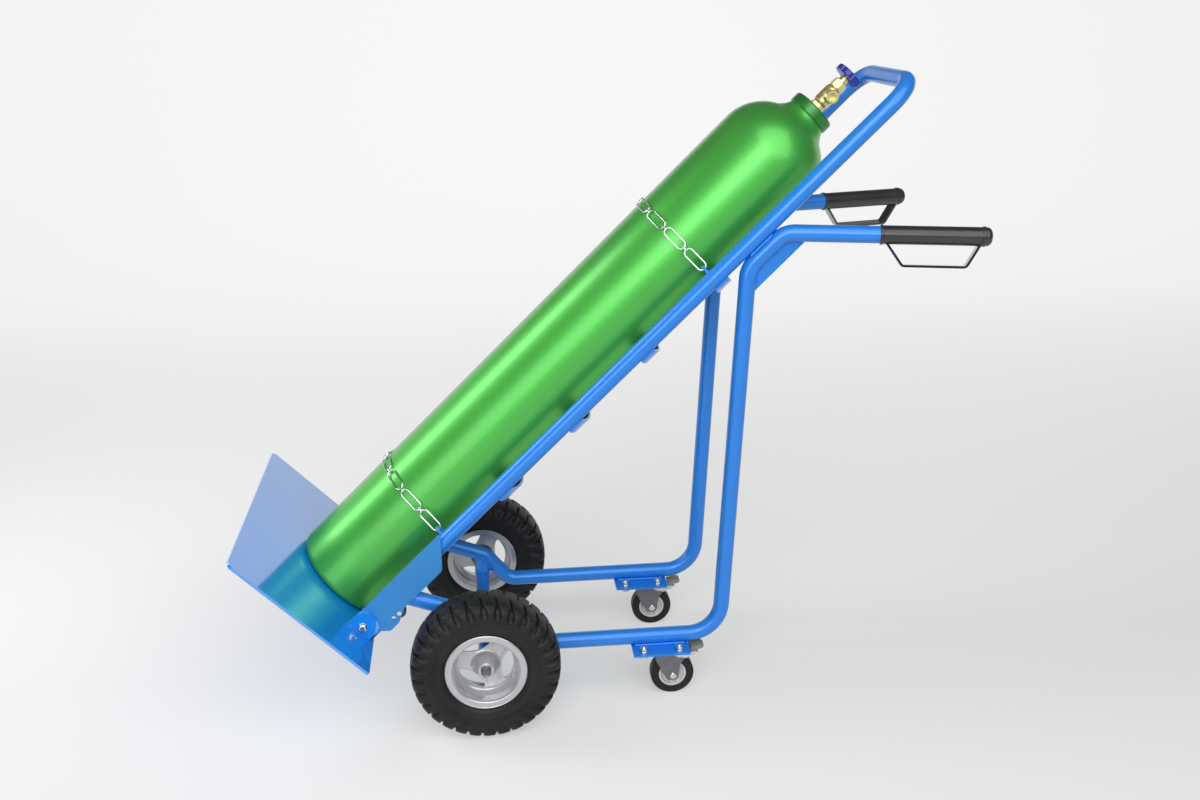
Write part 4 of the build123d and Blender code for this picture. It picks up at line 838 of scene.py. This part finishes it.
class TROLLEY_OT_welds(Operator):
    """Lay the weld beads that join tubes, plates, straps and tabs"""
    bl_idname = "trolley.welds"
    bl_label = "Weld beads"

    # A strap's beads: half their length, and the outer one's way out from the touch line and down.
    STRAP_HALF = 12 * MM
    STRAP_OUT, STRAP_FALL = 1.9 * MM, 0.4 * MM
    # An ear's bead: half its length, and how far beside the bolt the ear's face is found.
    EAR_HALF, EAR_BESIDE = 20 * MM, 14 * MM

    def execute(self, context):
        welds = context.scene.trolley_welds
        shape = bmesh.new()
        self.on_seams(shape, welds)
        for name, side in SIDES:
            self.along_rail(shape, welds, name, side)
            self.on_straps(shape, welds, side)
            self.on_bracket(shape, welds, name, side)
            self.on_ear(shape, welds, side)
        blue = bpy.data.materials["Frame powder coat"]
        finish_mesh("weld_beads", shape, blue, FRAME_BODY, 60)
        return {"FINISHED"}

    def on_seams(self, shape, welds):
        """Beads round the coped ends of posts, gussets and chain tabs."""
        joins = [(0.6, "chain_tabs", "main_hoop")]
        for name, side in SIDES:
            middle = Vector((AXLE.x, side * RAIL_Y))

            def outside(point, middle=middle):
                return (point.xy - middle).length > TUBE_R - 0.5 * MM
            post, rail = f"axle_post_{name}", f"side_frame_{name}"
            joins += [(1, post, rail, outside), (1, post, "axle_tube", outside),
                      (0.8, f"corner_gusset_{name}", rail)]
        for share, *where in joins:
            for points, closed in seams(*where):
                bead(shape, points, welds.bead * share, welds.ripple, closed)

    def crevice(self, radius):
        """How far from the touching line a bead sits between a tube and a flat."""
        return 2 * math.sqrt(TUBE_R * radius) * 0.95

    def along_rail(self, shape, welds, name, side):
        """Beads between rail and side frame, and between rail and side plate."""
        tree = skin(f"side_frame_{name}")
        length_u = slope_place(HOOP_TOP)[0]
        touching = [u for u in (length_u * step / 600 for step in range(601))
                    if tree.find_nearest(bed(u, RAIL_V - TUBE_R, side * RAIL_Y), 0.3 * MM)[0]]
        apart = math.sqrt(2 * TUBE_R * welds.bead + welds.bead ** 2)
        if touching:
            for y in (side * RAIL_Y - apart, side * RAIL_Y + apart):
                ends = [bed(u, RAIL_V - TUBE_R, y) for u in (touching[0], touching[-1])]
                bead(shape, ends, welds.bead, welds.ripple)
        face_y = low(f"side_plate_{name}").y if side > 0 else high(f"side_plate_{name}").y
        for across in (-1, 1):
            v = RAIL_V + across * self.crevice(welds.bead)
            head = (high(f"side_plate_{name}").x - AXLE.x + v * UP_SLOPE.z) / UP_SLOPE.x
            y = face_y - side * 0.8 * welds.bead
            ends = [bed(u, v, y) for u in (RAIL_FOOT_U + 6 * MM, head - 4 * MM)]
            bead(shape, ends, welds.bead, welds.ripple)

    def on_straps(self, shape, welds, side):
        """Two beads along each strap's touch on the rail, towards the right of the cart."""
        along = UP_SLOPE * self.STRAP_HALF
        for node in STRAPS:
            rail = bed(slope_place((low(node) + high(node)) / 2)[0], RAIL_V, side * RAIL_Y)
            touch = skin(node).find_nearest(rail)[0]
            down = (touch - rail).normalized()
            out = down.cross(UP_SLOPE).normalized()
            if out.y < 0:
                out.negate()
            for reach, fall in ((self.STRAP_OUT, self.STRAP_FALL),
                                (self.crevice(welds.bead), -0.7 * welds.bead)):
                spot = touch + out * reach + down * fall
                bead(shape, [spot - along, spot + along], welds.bead * 0.9, welds.ripple)

    def on_bracket(self, shape, welds, name, side):
        """Beads on both sides of the tube on a caster's bracket."""
        lowest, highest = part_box(f"caster_bracket_{name}")
        inset = 5 * MM
        for across in (-1, 1):
            y = side * RAIL_Y + across * self.crevice(welds.bead)
            z = highest.z + 0.75 * welds.bead
            ends = [Vector((x, y, z)) for x in (lowest.x + inset, highest.x - inset)]
            bead(shape, ends, welds.bead, welds.ripple)

    def on_ear(self, shape, welds, side):
        """Bead along the outer foot of a toe plate's ear."""
        lowest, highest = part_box("toe_plate_bolts")
        bolt = (lowest + highest) / 2
        bolt.y = 0
        tree = skin("toe_plate")
        beside = bolt + OFF_SLOPE * self.EAR_BESIDE
        face = tree.ray_cast(beside + Vector((0, side * 0.22, 0)), Vector((0, -side, 0)))[0]
        floor = tree.ray_cast(bolt + Vector((0, side * 0.2, 0)) + UP_SLOPE * 0.03, -UP_SLOPE)[0]
        foot = bolt + UP_SLOPE * (slope_place(floor)[0] - slope_place(bolt)[0] + 0.4 * welds.bead)
        foot.y = face.y + side * 0.4 * welds.bead
        reach = OFF_SLOPE * self.EAR_HALF
        bead(shape, [foot - reach, foot + reach], welds.bead * 0.8, welds.ripple)


class TROLLEY_OT_valve(Operator):
    """Cut the outlet's thread in the valve's brass"""
    bl_idname = "trolley.valve"
    bl_label = "Valve"

    # Outlet thread: pitch, height, the plain nose before it and the plain length in all.
    PITCH = 1.6 * MM
    HEIGHT = 0.35 * MM
    NOSE, PLAIN = 0.4 * MM, 2.4 * MM

    def execute(self, context):
        nose = next(mount for mount in frame["record"]["mounts"] if mount["name"] == "outlet_nose")
        radius = nose["dims"]["r_mm"] * MM
        length_m = nose["dims"]["length_mm"] * MM
        axis = Vector(nose["axis"])
        place = Matrix.Translation(nose["pos_m"]) @ axis.to_track_quat("Z", "Y").to_matrix().to_4x4()
        start = -length_m / 2 + self.NOSE
        turns = int((length_m - self.PLAIN) / self.PITCH)
        shape = bmesh.new()
        steps = 48
        rings = []
        for index in range(turns * steps + 1):
            turn = math.tau * index / steps
            along = start + self.PITCH * index / steps
            fade = min(1.0, index / 10, (turns * steps - index) / 10)
            root = radius - 0.1 * MM
            section = [(root, -0.4), (radius + self.HEIGHT * fade, 0), (root, 0.4)]
            rings.append([shape.verts.new(place @ polar(r, turn, along + share * self.PITCH))
                          for r, share in section])
        bridge_rings(shape, rings, closed=False)
        brass = bpy.data.materials["Valve brass"]
        finish_mesh("outlet_thread", shape, brass, "gas_cylinder", 30)
        return {"FINISHED"}


class TROLLEY_OT_studio(Operator):
    """Set the floor, lamps and camera"""
    bl_idname = "trolley.studio"
    bl_label = "Studio"

    # Softboxes: width and height, and the way to them from the cart's middle, in metres.
    KEY_SIZE, KEY_PLACE = (3.6, 3.6), Vector((0.64, -2.33, 2.1))
    SIDE_SIZE, SIDE_PLACE = (3.0, 1.5), Vector((-1.2, -2.7, 1.05))
    # The strip hangs square above the cylinder: place up the slope, height above the axis, and offset.
    STRIP_SIZE = (1.5, 0.55)
    STRIP_UP, STRIP_RISE, STRIP_Y = -0.1, 1.6, 0.18
    # Camera from the floor below the axle, and its turn in degrees.
    CAMERA_PLACE = Vector((0.0046, -2.0468, 1.2284))
    CAMERA_TURN = (71.262, 0.319, -6.248)
    # The lift rises from the floor's to the wall's over this way back.
    LIFT_REACH = 2.8

    def execute(self, context):
        studio = context.scene.trolley_studio
        sweep = self.backdrop(studio)
        middle = (Vector(CAD_BOUNDS[0]) + Vector(CAD_BOUNDS[1])) / 2
        self.lamp("Key softbox", studio.key, self.KEY_SIZE, middle + self.KEY_PLACE, middle)
        self.lamp("Side softbox", studio.side, self.SIDE_SIZE, middle + self.SIDE_PLACE, middle, UP_SLOPE)
        below = bed(self.STRIP_UP, slope_place(CYLINDER_POINT)[1])
        above = below + OFF_SLOPE * self.STRIP_RISE + Vector((0, self.STRIP_Y, 0))
        self.lamp("Strip softbox", studio.strip, self.STRIP_SIZE, above, below, UP_SLOPE)
        world = bpy.data.worlds.new("Studio air")
        context.scene.world = world
        world.use_nodes = True
        air = world.node_tree.nodes["Background"].inputs
        air["Color"].default_value = (1, 1, 1, 1)
        air["Strength"].default_value = studio.air
        lens = bpy.data.cameras.new("Camera")
        lens.lens = studio.lens
        lens.sensor_width = 36
        camera = bpy.data.objects.new("Camera", lens)
        camera.location = bed(0, 0) + self.CAMERA_PLACE
        camera.rotation_euler = Euler([math.radians(angle) for angle in self.CAMERA_TURN])
        context.scene.collection.objects.link(camera)
        context.scene.camera = camera
        context.scene.view_settings.view_transform = "Standard"
        return {"FINISHED"}

    def backdrop(self, studio):
        """Floor that sweeps up into a wall behind the cart."""
        shape = bmesh.new()
        reach, depth, bend, top = 9.0, 4.0, 1.2, 2.4
        line = [(-reach, 0.0)]
        line += [(depth - bend + bend * math.sin(a), bend - bend * math.cos(a))
                 for a in [math.pi / 2 * step / 12 for step in range(13)]]
        line.append((depth, top))
        rings = [[shape.verts.new((x, y, z)) for x in (-reach, reach)] for y, z in line]
        for first, second in zip(rings, rings[1:]):
            shape.faces.new((first[0], first[1], second[1], second[0]))
        return add_mesh("Floor", shape, self.paper(studio))

    def paper(self, studio):
        """Matt paper that keeps shadows and looks pale to the camera and in reflections."""
        made = bpy.data.materials.new("Floor paper")
        made.use_nodes = True
        wires = Wires(made.node_tree)
        surface = made.node_tree.nodes["Principled BSDF"]
        surface.inputs["Base Color"].default_value = (*studio.floor_grey, 1)
        surface.inputs["Roughness"].default_value = 0.9
        surface.inputs["Specular IOR Level"].default_value = 0.0
        path = wires.node("LightPath").outputs
        seen = wires.math("MAXIMUM", path["Is Camera Ray"], path["Is Glossy Ray"])
        seen = wires.math("MAXIMUM", seen, path["Is Transmission Ray"])
        spot = wires.node("SeparateXYZ", {0: wires.place()})
        lift = wires.spread(spot.outputs["Y"], 0.0, self.LIFT_REACH, studio.floor_lift, studio.wall_lift)
        glow = wires.node("Emission", {"Strength": wires.math("MULTIPLY", seen, lift)})
        total = wires.node("AddShader", {0: surface.outputs[0], 1: glow.outputs[0]})
        wires.feed(made.node_tree.nodes["Material Output"].inputs["Surface"], total.outputs[0])
        return made

    def lamp(self, name, power, size, place, target, along=Vector((1, 0, 0))):
        """Flat lamp that faces a point, with its longer side along a direction."""
        light = bpy.data.lights.new(name, "AREA")
        light.energy = power
        light.shape = "RECTANGLE"
        light.size, light.size_y = size
        lamp = bpy.data.objects.new(name, light)
        back = (place - target).normalized()
        wide = (along - back * along.dot(back)).normalized()
        turn = Matrix((wide, back.cross(wide), back)).transposed().to_4x4()
        lamp.matrix_world = Matrix.Translation(place) @ turn
        bpy.context.scene.collection.objects.link(lamp)


class TROLLEY_PT_panel(Panel):
    """Lists the trolley's building steps in the sidebar"""
    bl_label = "Trolley"
    bl_idname = "TROLLEY_PT_panel"
    bl_space_type = "VIEW_3D"
    bl_region_type = "UI"
    bl_category = "Trolley"

    def draw(self, context):
        for step in STEPS:
            self.layout.operator(step.bl_idname)


SETTINGS = {"trolley_paint": TrolleyPaint, "trolley_tyres": TrolleyTyres, "trolley_chains": TrolleyChains,
            "trolley_welds": TrolleyWelds, "trolley_studio": TrolleyStudio}
STEPS = (TROLLEY_OT_paint, TROLLEY_OT_metals, TROLLEY_OT_rubber, TROLLEY_OT_tyres, TROLLEY_OT_rims,
         TROLLEY_OT_hubs, TROLLEY_OT_chains, TROLLEY_OT_welds, TROLLEY_OT_valve, TROLLEY_OT_studio)


def register():
    for made in (*SETTINGS.values(), *STEPS, TROLLEY_PT_panel):
        bpy.utils.register_class(made)
    for name, group in SETTINGS.items():
        setattr(bpy.types.Scene, name, PointerProperty(type=group))


def unregister():
    for name in SETTINGS:
        delattr(bpy.types.Scene, name)
    for made in (TROLLEY_PT_panel, *reversed(STEPS), *SETTINGS.values()):
        bpy.utils.unregister_class(made)


def main():
    register()
    for step in STEPS:
        family, action = step.bl_idname.split(".")
        getattr(getattr(bpy.ops, family), action)()


if __name__ == "__main__":
    main()
